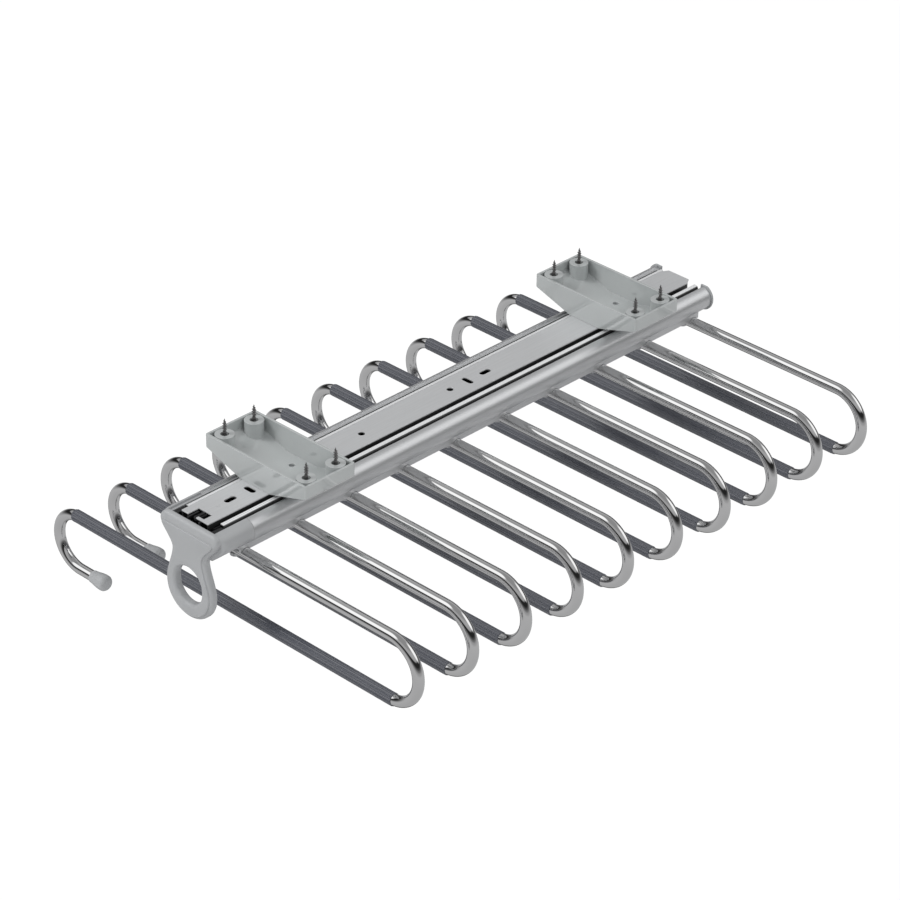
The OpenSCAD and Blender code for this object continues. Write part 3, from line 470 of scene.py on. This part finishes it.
def hanger_heights(sizes):
    """The heights of the top rod, the bar and the lower arm, from the first packed hanger's top."""
    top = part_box("hanger_1")[1][2] - sizes.wire / 2
    return top, top - 2 * sizes.right_bend, top - 2 * sizes.right_bend - 2 * sizes.left_bend


def arc(centre_x, centre_z, radius, start, end, steps):
    """Points on an arc in X and Z, centre + radius (cos(turn), sin(turn)), and the way of travel at each."""
    turn = np.linspace(start, end, steps)
    way = np.sign(end - start)
    points = np.stack([centre_x + radius * np.cos(turn), centre_z + radius * np.sin(turn)], -1)
    return points, np.stack([-way * np.sin(turn), way * np.cos(turn)], -1)


def tube(points, tangents, radii, y):
    """A profile carried along a path in X and Z: point + r(angle) (cos(angle) side + sin(angle) Y).
    The side is the tangent turned a quarter in the plane, and radii holds one r for each ring and angle."""
    turn = np.linspace(0.0, 2 * math.pi, radii.shape[1], endpoint=False)
    side = np.stack([-tangents[:, 1], np.zeros(len(points)), tangents[:, 0]], -1)
    centre = np.stack([points[:, 0], np.full(len(points), y), points[:, 1]], -1)
    across = (np.cos(turn)[None, :, None] * side[:, None, :]
              + np.sin(turn)[None, :, None] * np.array([0.0, 1.0, 0.0]))
    return centre[:, None, :] + radii[:, :, None] * across


def stretch_of(x0, x1, z, steps):
    """A straight run along X at one height."""
    xs = np.linspace(x0, x1, steps)
    way = np.sign(x1 - x0)
    return np.stack([xs, np.full(steps, z)], -1), np.tile([way, 0.0], (steps, 1))


class RACK_OT_hangers(bpy.types.Operator):
    """Builds each chromed hanger as one round wire with true bends"""
    bl_idname = "rack.hangers"
    bl_label = "Hangers"

    def execute(self, context):
        s, f = context.scene.rack_hangers, context.scene.rack_finishes
        chrome = finish("Chrome plating", f.chrome, 0.03, metallic=1.0)
        vary_colour(chrome, grain(chrome, 35.0, detail=1.0), 0.98, 1.01)
        top_z, bar_z, low_z = hanger_heights(s)
        r, rounding = s.wire / 2, s.end_round
        right_z, left_z, wire_end = top_z - s.right_bend, bar_z - s.left_bend, s.lower_arm - s.tip_cover
        runs = [stretch_of(-s.rod_start, s.right_centre, top_z, 12),
                arc(s.right_centre, right_z, s.right_bend, math.pi / 2, -math.pi / 2, s.bend_steps),
                stretch_of(s.right_centre, -s.left_centre, bar_z, 20),
                arc(-s.left_centre, left_z, s.left_bend, math.pi / 2, 1.5 * math.pi, s.bend_steps),
                stretch_of(-s.left_centre, -s.left_centre + wire_end, low_z, 4)]
        points = np.concatenate([p for p, _ in runs])
        tangents = np.concatenate([t for _, t in runs])
        # Each cut end is a flat disc, closed in a point, and a quarter round: r - e + sqrt(e^2 - (e - b)^2),
        # where e is the rounding and b the way back from the end.
        back = np.linspace(0.0, rounding, 5)
        rounded = r - rounding + np.sqrt(rounding ** 2 - (rounding - back) ** 2)
        centres = np.concatenate([points[:1], points[:1] + tangents[:1] * back[:, None], points[1:-1],
                                  points[-1:] - tangents[-1:] * back[::-1, None], points[-1:]])
        ends = len(back) + 1
        ways = np.concatenate([np.tile(tangents[:1], (ends, 1)), tangents[1:-1],
                               np.tile(tangents[-1:], (ends, 1))])
        radii = np.concatenate([[0.0], rounded, np.full(len(points) - 2, r), rounded[::-1], [0.0]])
        rings = np.tile(radii[:, None], (1, s.round_steps))
        for i, y in enumerate(hanger_row()):
            new_piece(f"hanger_wire_{i + 1}", [surface(tube(centres, ways, rings, y))],
                      "carriage", chrome, f"hanger_{i + 1}")
        return {"FINISHED"}


class RACK_OT_sleeves(bpy.types.Operator):
    """Builds each ribbed grip sleeve over its bar and a little round both bends"""
    bl_idname = "rack.sleeves"
    bl_label = "Grip sleeves"

    def execute(self, context):
        s, h, f = context.scene.rack_sleeves, context.scene.rack_hangers, context.scene.rack_finishes
        rubber = finish("Ribbed rubber", f.sleeve, 0.48, IOR=1.5, Coat_Weight=1.0, Coat_Roughness=0.12,
                        Coat_IOR=1.8)
        bump(rubber, grain(rubber, 1.0, (60.0, 2600.0, 2600.0)), 1.5e-6)
        vary_colour(rubber, grain(rubber, 1.0, (6.0, 900.0, 900.0)), 0.93, 1.07)
        vary_roughness(rubber, grain(rubber, 300.0), 0.42, 0.54)
        top_z, bar_z, _ = hanger_heights(h)
        right, left = s.overrun / h.right_bend, s.overrun / h.left_bend
        runs = [arc(h.right_centre, top_z - h.right_bend, h.right_bend, right - math.pi / 2, -math.pi / 2, 6),
                stretch_of(h.right_centre, -h.left_centre, bar_z, 24),
                arc(-h.left_centre, bar_z - h.left_bend, h.left_bend, math.pi / 2, math.pi / 2 + left, 6)]
        points = np.concatenate([p for p, _ in runs])
        ways = np.concatenate([t for _, t in runs])
        # The ribs are a wave round the sleeve: r = R - h (1 - cos(n angle)) / 2, with n ribs.
        turn = np.linspace(0.0, 2 * math.pi, s.ribs * 6, endpoint=False)
        crest = s.outer / 2 - s.rib_height * (1 - np.cos(s.ribs * turn)) / 2
        bore = np.full(len(turn), h.wire / 2 + s.clearance)
        lip = crest - s.lip
        rings = np.concatenate([[bore, lip], np.tile(crest, (len(points), 1)), [lip, bore]])
        centres = np.concatenate([points[:1], points[:1], points[:1] + ways[:1] * s.lip, points[1:-1],
                                  points[-1:] - ways[-1:] * s.lip, points[-1:], points[-1:]])
        directions = np.concatenate([np.tile(ways[:1], (3, 1)), ways[1:-1], np.tile(ways[-1:], (3, 1))])
        bores = np.tile(bore, (len(points), 1))
        for i, y in enumerate(hanger_row()):
            outside = surface(tube(centres, directions, rings, y))
            # The bore's own wall follows the bar, so it is carried along the same points.
            wall = surface(tube(points, ways, bores, y))
            new_piece(f"sleeve_{i + 1}", [outside, wall], "carriage", rubber,
                      f"grip_sleeve_{i + 1}", crease=math.radians(60))
        return {"FINISHED"}


class RACK_OT_tips(bpy.types.Operator):
    """Turns each flared plastic tip"""
    bl_idname = "rack.tips"
    bl_label = "Tips"

    def execute(self, context):
        s, h, f = context.scene.rack_tips, context.scene.rack_hangers, context.scene.rack_finishes
        plastic = moulded_plastic("Tip plastic", f.tip, 0.34, fineness=1500.0, height=3e-6, IOR=1.5)
        _, _, low_z = hanger_heights(h)
        # A turned profile: the neck swells as a half wave into the bulb, and a quarter round closes it.
        flare = np.linspace(0.0, 1.0, 24)
        end_x = -h.left_centre + h.lower_arm
        along = (s.long - s.rounding) * flare
        wave = (1 - np.cos(math.pi * np.minimum(flare * SWELL_RATE, 1.0))) / 2
        swell = s.neck / 2 + (s.bulb - s.neck) / 2 * wave
        turn = np.linspace(0.0, math.pi / 2, 10)[1:]
        xs = np.concatenate([[s.mouth, 0.0, 0.0], along[1:], s.long - s.rounding + s.rounding * np.sin(turn),
                             [s.long]])
        rs = np.concatenate([[h.wire / 2, h.wire / 2, s.neck / 2 - s.neck_edge], swell[1:],
                             s.bulb / 2 - s.rounding + s.rounding * np.cos(turn), [0.0]])
        points = np.stack([end_x - s.long + xs, np.full(len(xs), low_z)], -1)
        ways = np.tile([1.0, 0.0], (len(xs), 1))
        rings = np.tile(rs[:, None], (1, h.round_steps))
        for i, y in enumerate(hanger_row()):
            new_piece(f"tip_{i + 1}", [surface(tube(points, ways, rings, y))],
                      "carriage", plastic, f"end_tip_{i + 1}", crease=math.radians(50))
        return {"FINISHED"}


def bezier(p, steps):
    """A cubic curve through four control points: (1-t)^3 p0 + 3t(1-t)^2 p1 + 3t^2(1-t) p2 + t^3 p3."""
    t = np.linspace(0.0, 1.0, steps)[:, None]
    p = np.asarray(p, float)
    return (1 - t) ** 3 * p[0] + 3 * t * (1 - t) ** 2 * p[1] + 3 * t * t * (1 - t) * p[2] + t ** 3 * p[3]


def shifted(curve, distance):
    """A curve in X and Z moved sideways by a distance, to the right of its travel."""
    step = np.gradient(curve, axis=0)
    step /= np.maximum(np.linalg.norm(step, axis=1, keepdims=True), 1e-12)
    return curve + distance * np.stack([step[:, 1], -step[:, 0]], -1)


def mirrored(half):
    """Closes a right half, drawn from the top of the centre line down to its foot, with its mirror image."""
    return np.concatenate([half, (half * [-1.0, 1.0])[-2:0:-1]])


def at_depth(loop, y):
    """A loop in X and Z at a depth Y, which may differ from point to point."""
    return np.stack([loop[:, 0], np.broadcast_to(y, len(loop)), loop[:, 1]], -1)


class RACK_OT_cap(bpy.types.Operator):
    """Builds the front cap: a rounded front with a raised panel and a pull ring, and the sleeve behind it"""
    bl_idname = "rack.front_cap"
    bl_label = "Front cap"

    def execute(self, context):
        s, f = context.scene.rack_cap, context.scene.rack_finishes
        plastic = moulded_plastic("Cap plastic", f.cap, 0.36, fineness=2100.0, height=3e-6, IOR=1.5,
                                  Coat_Weight=0.4, Coat_Roughness=0.14)
        rim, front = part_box("top_rail")[1][2] - s.rim_drop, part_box("front_cap")[0][1]
        rear = front + s.thickness
        half_face, corner_z = s.face_width / 2, rim - s.corner
        waist_z, ring_z, ring_r = rim - s.waist_drop, rim - s.ring_drop, s.ring / 2

        # The side runs down the shoulder to the waist, out over the hip and round the ring.
        fall, half_waist = corner_z - waist_z, s.waist / 2
        shoulder = bezier([[half_face, corner_z], [half_face, corner_z - fall * s.shoulder_start],
                           [half_waist, waist_z + fall * s.shoulder_end], [half_waist, waist_z]],
                          CAP_SIDE_STEPS)
        fall = waist_z - ring_z
        hip = bezier([[half_waist, waist_z], [half_waist, waist_z - fall * s.hip_start],
                      [ring_r, ring_z + fall * s.hip_end], [ring_r, ring_z]], CAP_SIDE_STEPS)
        bottom = np.linspace(0.0, -math.pi / 2, CAP_SIDE_STEPS)
        ring = np.stack([ring_r * np.cos(bottom), ring_z + ring_r * np.sin(bottom)], -1)
        side = np.concatenate([shoulder, hip[1:], ring[1:]])
        quarter = np.linspace(math.pi / 2, 0.0, CAP_CORNER_STEPS)[1:-1]

        def outline(inset, drop, corner_r, start_z):
            """The half outline moved in by inset, its top edge lowered by drop, with its own corner radius.
            Its side starts at start_z, and its points are drawn closer to keep their number."""
            inner = shifted(side, inset)
            inner[:, 0] = np.maximum(inner[:, 0], 0.0)
            u = np.linspace(0.0, 1.0, len(side))
            first = np.interp(-start_z, -inner[:60, 1], u[:60])
            place = u + first * (1 - u) ** 4
            inner = np.stack([np.interp(place, u, inner[:, 0]), np.interp(place, u, inner[:, 1])], -1)
            inner[-1, 0] = 0.0
            centre = np.array([inner[0, 0] - corner_r, inner[0, 1]])
            centre[1] = rim - drop - corner_r
            top = np.linspace([0.0, rim - drop], [centre[0], rim - drop], CAP_TOP_STEPS)
            corner = centre + corner_r * np.stack([np.cos(quarter), np.sin(quarter)], -1)
            return np.concatenate([top, corner, inner])

        edge = outline(0.0, 0.0, s.corner, corner_z)
        panel_z = rim - s.top_round - s.panel_corner
        brim = outline(s.side_round, s.top_round, s.panel_corner, panel_z)
        panel = outline(s.side_round + s.panel_step, s.top_round + s.panel_step, s.panel_corner,
                        panel_z - s.panel_step)
        back = outline(s.rear_round, s.rear_round, s.corner - s.rear_round, corner_z)
        # The bevel is deep along the top and shallow down the sides.
        weight = np.concatenate([np.ones(CAP_TOP_STEPS), np.linspace(1.0, 0.0, CAP_CORNER_STEPS)[1:-1],
                                 np.zeros(len(side))])
        depth = s.side_round + (s.top_depth - s.side_round) * weight * weight * (3 - 2 * weight)
        edge, brim, panel, back = (mirrored(x) for x in (edge, brim, panel, back))
        depth = np.concatenate([depth, depth[-2:0:-1]])

        def loops(a, b, turns, y_at):
            """Loops of a quarter round from outline a to b: a + (b - a)(1 - cos(t)), at y_at(t)."""
            return np.stack([at_depth(a + (b - a) * (1 - math.cos(t)), y_at(t)) for t in turns])

        quarter_turns = np.linspace(0.0, math.pi / 2, 9)
        brim_y = front + s.panel_rise
        bevel = loops(edge, brim, quarter_turns, lambda t: brim_y + depth * (1 - math.sin(t)))
        step = np.stack([at_depth(brim + (panel - brim) * a, brim_y - s.panel_rise * b)
                         for a, b in PANEL_EDGE])
        rear_edge = loops(edge, back, quarter_turns, lambda t: rear - s.rear_round * (1 - math.sin(t)))
        wall = np.stack([rear_edge[0], bevel[0]])

        hole_r, hole_z = s.hole / 2, ring_z + s.hole_rise
        turn = np.linspace(0.0, 2 * math.pi, 96, endpoint=False)
        shift = np.where(np.sin(turn) >= 0, s.hole_stretch / 2, -s.hole_stretch / 2)

        def hole(extra):
            """The hole's outline, two half circles joined by straight sides, wider by extra."""
            r = hole_r + extra
            return np.stack([r * np.cos(turn), hole_z + shift + r * np.sin(turn)], -1)

        hole_front = loops(hole(0.0), hole(s.hole_round), quarter_turns,
                           lambda t: front + s.hole_round * (1 - math.sin(t)))
        hole_rear = loops(hole(0.0), hole(s.rear_round), quarter_turns,
                          lambda t: rear - s.rear_round * (1 - math.sin(t)))
        hole_wall = np.stack([hole_front[0], hole_rear[0]])
        parts = [surface(x) for x in (wall, bevel, step, rear_edge, hole_front, hole_rear, hole_wall)]
        parts += [flat_fill(step[-1], hole_front[-1]), flat_fill(rear_edge[-1], hole_rear[-1])]
        parts += self.sleeve_parts(s, rim, rear)
        new_piece("front_cap_shell", parts, "carriage", plastic, "front_cap",
                  crease=math.radians(32))
        return {"FINISHED"}

    def sleeve_parts(self, s, rim, rear):
        """The sleeve behind the front. Its section is the two round flanks, which slope in to the base, and
        the recess with its ledges. Near the front its sides round in."""
        recess_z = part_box("bottom_rail")[0][2]
        centre = np.array([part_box("channel")[1][0] - s.flank_round, rim - s.flank_drop])
        corner = np.array([s.base, rim - s.flank_height])
        # The slope is a tangent of the flank's curve: its turn is the corner's plus acos(r / distance).
        reach = corner - centre
        last = math.atan2(reach[1], reach[0]) + math.acos(s.flank_round / np.linalg.norm(reach))
        ledge_x, ledge_z = s.recess + s.ledge, rim - s.ledge_drop
        turn = np.linspace(math.acos((ledge_x - centre[0]) / s.flank_round), last, 32)
        flank = centre + s.flank_round * np.stack([np.cos(turn), np.sin(turn)], -1)
        inside = [[s.recess, recess_z], [s.recess, ledge_z], [ledge_x, ledge_z]]
        right = np.concatenate([inside, flank, [corner]])
        soft = np.zeros(len(right))
        soft[1], soft[3], soft[-1] = s.recess_soft, s.ledge_soft, s.base_soft
        section = soft_corners(np.concatenate([right, (right * [-1.0, 1.0])[::-1]]),
                               np.concatenate([soft, soft[::-1]]), 5)
        start, end = rear - s.rear_round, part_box("channel")[0][1] + s.tongue - s.end_gap
        turn = np.linspace(0.0, math.pi / 2, 12)
        ys = np.concatenate([start + s.blend * (1 - np.cos(turn)), [end - s.end_bevel, end]])
        inwards = np.concatenate([s.blend_in * (1 - np.sin(turn)), [0.0, s.end_in]])
        # Only points out beyond the ledge move in, in step with how far out they lie.
        outer = np.clip((np.abs(section[:, 0]) - ledge_x) / (centre[0] + s.flank_round - ledge_x), 0.0, 1.0)
        grid = np.stack([at_depth(section - np.stack([np.sign(section[:, 0]) * k * outer, 0 * outer], -1), y)
                         for y, k in zip(ys, inwards)])
        return [surface(grid), flat_fill(grid[0]), flat_fill(grid[-1])]


def soft_corners(loop, cuts, steps):
    """Replaces each corner of a closed loop by a parabola (1-t)^2 a + 2t(1-t) corner + t^2 b. Its ends a and
    b lie the corner's cut away along the two sides. A cut of 0 keeps the corner."""
    before, after = np.roll(loop, 1, 0) - loop, np.roll(loop, -1, 0) - loop
    before /= np.linalg.norm(before, axis=1, keepdims=True)
    after /= np.linalg.norm(after, axis=1, keepdims=True)
    a, b = loop + before * cuts[:, None], loop + after * cuts[:, None]
    t = np.linspace(0.0, 1.0, steps)[None, :, None]
    return ((1 - t) ** 2 * a[:, None] + 2 * t * (1 - t) * loop[:, None] + t * t * b[:, None]).reshape(-1, 2)


class RACK_OT_brackets(bpy.types.Operator):
    """Rounds the edges of the two shelf brackets and gives them a glossy plastic"""
    bl_idname = "rack.brackets"
    bl_label = "Shelf brackets"

    def execute(self, context):
        edges, f = context.scene.rack_edges, context.scene.rack_finishes
        plastic = finish("Bracket plastic", f.bracket, 0.30, IOR=1.6, Coat_Weight=1.0, Coat_Roughness=0.03,
                         Coat_IOR=2.1)
        vary_colour(plastic, grain(plastic, 60.0), 0.98, 1.01)
        for node in ("front_bracket", "rear_bracket"):
            softened(node, "fixed_mount", plastic, edges.bracket)
        return {"FINISHED"}


class RACK_OT_wood_screws(bpy.types.Operator):
    """Builds the wood screws with a spiral thread and a point"""
    bl_idname = "rack.wood_screws"
    bl_label = "Wood screws"

    def execute(self, context):
        s, f = context.scene.rack_screws, context.scene.rack_finishes
        steel = finish("Dark plated steel", f.wood_screw, 0.32, metallic=1.0)
        vary_colour(steel, grain(steel, 900.0), 0.8, 1.2)
        vary_roughness(steel, grain(steel, 1500.0), 0.24, 0.42)
        bump(steel, grain(steel, 2600.0), 3e-6)
        turn = np.linspace(0.0, 2 * math.pi, 28, endpoint=False)
        thread_z = np.arange(s.plain, s.standing, s.pitch / 9)
        zs = np.concatenate([thread_z, [s.standing]])
        # The thread is a ridge that climbs one pitch a turn: r = core + ridge(z / pitch - angle / 2 pi). Both
        # shrink towards the point.
        place = np.mod(zs[:, None] / s.pitch - turn[None, :] / (2 * math.pi), 1.0)
        ridge = np.maximum(0.0, 1 - np.abs(place - 0.5) / s.ridge_share)
        taper = np.clip((s.standing - zs) / s.point, 0.0, 1.0) ** POINT_POWER
        start = np.clip((zs - s.plain) / s.pitch, 0.0, 1.0)
        plain_r, head_r = s.shank / 2 * s.plain_share, s.head / 2
        core = s.core / 2 * taper + (plain_r - s.core / 2) * np.maximum(0.0, 1 - start * CORE_RATE)
        height = (s.shank - s.core) / 2 * np.minimum(start, np.minimum(1.0, taper * RIDGE_RATE))
        thread = core[:, None] + height[:, None] * ridge
        thread[-1] = 0.0
        head_z = -s.ledge - s.head_height
        lower = np.concatenate([SCREW_RECESS + [0.0, head_z],
                                [[head_r - s.head_bevel, head_z + s.head_bevel_low],
                                 [head_r, head_z + s.head_bevel_high], [head_r, -s.ledge - s.head_edge],
                                 [head_r - s.head_edge, -s.ledge], [plain_r, -s.ledge], [plain_r, s.plain]]])
        z_all = np.concatenate([lower[:, 1], zs])
        r_all = np.concatenate([np.tile(lower[:, :1], (1, len(turn))), thread])
        circle = np.stack([np.cos(turn), np.sin(turn)], -1)
        heights = np.tile(z_all[:, None, None], (1, len(turn), 1))
        one = np.concatenate([r_all[:, :, None] * circle[None], heights], -1)
        for node in ("front_bracket_screws", "rear_bracket_screws"):
            low, high = np.array(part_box(node))
            (x, y, _), reach = (low + high) / 2, (high - low) / 2 - head_r
            parts = [surface(one + [x + a * reach[0], y + b * reach[1], 0.0])
                     for a in (-1, 1) for b in (-1, 1)]
            new_piece(node + "_threaded", parts, "fixed_mount", steel, node,
                      crease=math.radians(45))
        return {"FINISHED"}


class RACK_OT_slide(bpy.types.Operator):
    """Finishes the ball bearing slide: rails, cages, balls, lever, buffer and screws"""
    bl_idname = "rack.slide"
    bl_label = "Slide"

    def execute(self, context):
        edges, f = context.scene.rack_edges, context.scene.rack_finishes
        plate = drawn_metal("Satin plate", f.plate, 0.36, metallic=0.45, height=8e-7, across=1500.0,
                            along=40.0)
        # Painted shade darkens the top rail below its top face: its sides and the slide's gap.
        paint_shade_below(plate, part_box("top_rail")[1][2], *PLATE_PAINTED_SHADE)
        softened("top_rail", "fixed_mount", plate, edges.plate)
        dress(plate, "lever_rivet")
        bright = drawn_metal("Bright rail", f.lip, 0.28, metallic=0.3, height=8e-7)
        # Painted shade darkens the bottom rail below the top of its lips.
        paint_shade_below(bright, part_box("bottom_rail")[1][2], *BOTTOM_RAIL_PAINTED_SHADE)
        softened("bottom_rail", "carriage", bright, edges.lip)
        # The middle rail's dark colour is partly grease and partly painted shade for the slide's gap.
        dress(drawn_metal("Inner rail", f.inner_rail_grease_and_shade, 0.34), "middle_rail")
        cage = finish("Oiled cage steel", f.cage, 0.45, metallic=0.9)
        vary_roughness(cage, grain(cage, 400.0), 0.35, 0.55)
        dress(cage, "upper_ball_cage", "lower_ball_cage")
        ball = finish("Ball steel", f.ball, 0.06, metallic=1.0)
        vary_roughness(ball, grain(ball, 3000.0), 0.04, 0.10)
        dress(ball, "upper_balls", "lower_balls")
        black = moulded_plastic("Black plastic", f.black, 0.38, fineness=2400.0, height=4e-6, IOR=1.5)
        softened("front_buffer", "carriage", black, edges.buffer)
        softened("release_lever", "release_lever", black, edges.lever)
        zinc = finish("Zinc plated screws", f.zinc_screw, 0.30, metallic=1.0)
        vary_roughness(zinc, grain(zinc, 1800.0), 0.22, 0.40)
        vary_colour(zinc, grain(zinc, 700.0), 0.92, 1.04)
        dress(zinc, "slide_screws", "rail_screws", "hanger_screws")
        return {"FINISHED"}


class RACK_OT_channel(bpy.types.Operator):
    """Rounds the drawn edges of the aluminium channel and gives it a satin anodised finish"""
    bl_idname = "rack.channel"
    bl_label = "Channel"

    def execute(self, context):
        edges, f = context.scene.rack_edges, context.scene.rack_finishes
        aluminium = drawn_metal("Satin aluminium", f.aluminium, 0.40, metallic=0.85, height=6e-7,
                                across=3200.0, along=2.0)
        softened("channel", "carriage", aluminium, edges.channel)
        plastic = moulded_plastic("Rear cap plastic", f.cap, 0.38, fineness=2100.0, height=4e-6, IOR=1.5)
        for node in ("rear_cap_left", "rear_cap_right"):
            softened(node, "carriage", plastic, edges.rear_cap)
        return {"FINISHED"}


def direction_share(nodes, links, way, towards, inner, outer):
    """How far a direction points at a spot: 1 within the cosine inner, 0 outside the cosine outer."""
    dot = nodes.new("ShaderNodeVectorMath")
    dot.operation = "DOT_PRODUCT"
    links.new(way, dot.inputs[0])
    dot.inputs[1].default_value = Vector(towards).normalized()
    return remapped(nodes, links, dot.outputs["Value"], outer, inner, way="SMOOTHSTEP")


class RACK_OT_stage(bpy.types.Operator):
    """Sets the pale floor, the soft lights, the studio backdrop that metal shows, and the camera"""
    bl_idname = "rack.stage"
    bl_label = "Studio"

    def execute(self, context):
        s, scene = context.scene.rack_stage, context.scene
        scene.view_settings.view_transform = "Standard"
        self.backdrop(s, scene)
        self.floor(s)
        for name, (place, size), power in (("Key light", KEY_LIGHT, s.key_power),
                                           ("Fill light", FILL_LIGHT, s.fill_power)):
            light = bpy.data.lights.new(name, "AREA")
            light.shape, light.size, light.energy = "DISK", size, power
            lamp = bpy.data.objects.new(name, light)
            scene.collection.objects.link(lamp)
            lamp.location = place
            towards = Vector(LIT_POINT) - Vector(place)
            lamp.rotation_euler = towards.to_track_quat("-Z", "Y").to_euler()
            lamp.visible_glossy = False
        camera = bpy.data.cameras.new("Camera")
        camera.lens, camera.sensor_width, camera.clip_end = s.lens, SENSOR_WIDTH, 50.0
        view = bpy.data.objects.new("Camera", camera)
        scene.collection.objects.link(view)
        turns = Euler([math.radians(turn) for turn in CAMERA_TURNS])
        view.matrix_world = Matrix.LocRotScale(Vector(CAMERA_PLACE), turns, None)
        camera.shift_x, camera.shift_y = SHIFT_RIGHT / PHOTO_SIDE, -SHIFT_DOWN / PHOTO_SIDE
        scene.camera = view
        return {"FINISHED"}

    def backdrop(self, s, scene):
        """White for the camera, even light for matt surfaces, and for gloss a grey studio with two soft
        boxes, a black band above the horizon and a dark panel low on the left."""
        world = bpy.data.worlds.new("Studio")
        scene.world = world
        world.use_nodes = True
        nodes, links = tree_of(world)
        nodes.clear()
        place = nodes.new("ShaderNodeTexCoord")
        axes = nodes.new("ShaderNodeSeparateXYZ")
        links.new(place.outputs["Generated"], axes.inputs["Vector"])
        height = remapped(nodes, links, axes.outputs["Z"], -1.0, 1.0)
        ramp = nodes.new("ShaderNodeValToRGB")
        ramp.color_ramp.interpolation = "EASE"
        elements = ramp.color_ramp.elements
        while len(elements) < len(STUDIO_LEVELS):
            elements.new(0.5)
        for element, (position, value) in zip(elements, STUDIO_LEVELS):
            element.position, element.color = position, (value, value, value * 1.01, 1.0)
        links.new(height, ramp.inputs["Fac"])
        way = place.outputs["Generated"]
        front_box = direction_share(nodes, links, way, *FRONT_BOX)
        right_box = direction_share(nodes, links, way, *RIGHT_BOX)
        # The dark panel gives the rods their dark lower edge.
        panel = direction_share(nodes, links, way, *DARK_PANEL)
        darker = towards_grey(nodes, links, panel, ramp.outputs["Color"], PANEL_LEVEL)
        boxes = larger(nodes, links, front_box, right_box)
        lit = towards_grey(nodes, links, boxes, darker, BOX_LEVEL)
        rays = nodes.new("ShaderNodeLightPath").outputs
        seen = towards_grey(nodes, links, rays["Is Camera Ray"], lit, 1.0)
        either = larger(nodes, links, rays["Is Camera Ray"], rays["Is Glossy Ray"])
        any_ray = larger(nodes, links, either, rays["Is Transmission Ray"])
        pale = nodes.new("ShaderNodeBackground")
        links.new(seen, pale.inputs["Color"])
        even = nodes.new("ShaderNodeBackground")
        even.inputs["Strength"].default_value = s.level
        mix = nodes.new("ShaderNodeMixShader")
        links.new(any_ray, mix.inputs["Fac"])
        links.new(even.outputs["Background"], mix.inputs[1])
        links.new(pale.outputs["Background"], mix.inputs[2])
        output = nodes.new("ShaderNodeOutputWorld")
        links.new(mix.outputs["Shader"], output.inputs["Surface"])

    def floor(self, s):
        """A wide pale floor. The camera sees white and a share of its real light, which keeps the shadow."""
        half = s.floor_width / 2
        mesh = bpy.data.meshes.new("Floor")
        corners = [(a * half, b * half, -s.floor_drop) for a, b in ((-1, -1), (1, -1), (1, 1), (-1, 1))]
        mesh.from_pydata(corners, [], [(0, 1, 2, 3)])
        material = bpy.data.materials.new("Pale floor")
        material.use_nodes = True
        nodes, links = tree_of(material)
        nodes.clear()
        paint = nodes.new("ShaderNodeBsdfDiffuse")
        paint.inputs["Color"].default_value = (s.floor_grey, s.floor_grey, s.floor_grey, 1.0)
        white = nodes.new("ShaderNodeEmission")
        white.inputs["Strength"].default_value = s.floor_level
        rays = nodes.new("ShaderNodeLightPath")
        amount = nodes.new("ShaderNodeMath")
        amount.operation = "MULTIPLY"
        amount.inputs[1].default_value = s.floor_white
        links.new(rays.outputs["Is Camera Ray"], amount.inputs[0])
        mix = nodes.new("ShaderNodeMixShader")
        links.new(amount.outputs["Value"], mix.inputs["Fac"])
        links.new(paint.outputs["BSDF"], mix.inputs[1])
        links.new(white.outputs["Emission"], mix.inputs[2])
        output = nodes.new("ShaderNodeOutputMaterial")
        links.new(mix.outputs["Shader"], output.inputs["Surface"])
        mesh.materials.append(material)
        floor = bpy.data.objects.new("Floor", mesh)
        bpy.context.scene.collection.objects.link(floor)
        floor.visible_glossy = False


GROUPS = {"rack_hangers": HangerSizes, "rack_sleeves": SleeveSizes, "rack_tips": TipSizes,
          "rack_cap": CapSizes, "rack_screws": ScrewSizes, "rack_edges": EdgeSizes,
          "rack_finishes": Finishes, "rack_stage": StageSizes}
PIECES = [RACK_OT_brackets, RACK_OT_wood_screws, RACK_OT_slide, RACK_OT_channel, RACK_OT_cap, RACK_OT_hangers,
          RACK_OT_sleeves, RACK_OT_tips, RACK_OT_stage]


class RACK_PT_panel(bpy.types.Panel):
    """Lists the pieces of the rack, with their sizes and finishes"""
    bl_label = "Trouser rack"
    bl_idname = "RACK_PT_panel"
    bl_space_type = "VIEW_3D"
    bl_region_type = "UI"
    bl_category = "Trouser rack"

    def draw(self, context):
        for piece in PIECES:
            self.layout.operator(piece.bl_idname)
        for name in GROUPS:
            group = getattr(context.scene, name)
            box = self.layout.box()
            for field in group.bl_rna.properties.keys():
                if field not in ("rna_type", "name"):
                    box.prop(group, field)


def register():
    for group in GROUPS.values():
        bpy.utils.register_class(group)
    for piece in PIECES:
        bpy.utils.register_class(piece)
    bpy.utils.register_class(RACK_PT_panel)
    for name, group in GROUPS.items():
        setattr(bpy.types.Scene, name, PointerProperty(type=group))


def unregister():
    for name in GROUPS:
        delattr(bpy.types.Scene, name)
    for item in (RACK_PT_panel, *reversed(PIECES), *GROUPS.values()):
        bpy.utils.unregister_class(item)


def main():
    register()
    for operator in (bpy.ops.rack.brackets, bpy.ops.rack.wood_screws, bpy.ops.rack.slide,
                     bpy.ops.rack.channel, bpy.ops.rack.front_cap, bpy.ops.rack.hangers, bpy.ops.rack.sleeves,
                     bpy.ops.rack.tips, bpy.ops.rack.stage):
        operator()


if __name__ == "__main__":
    main()
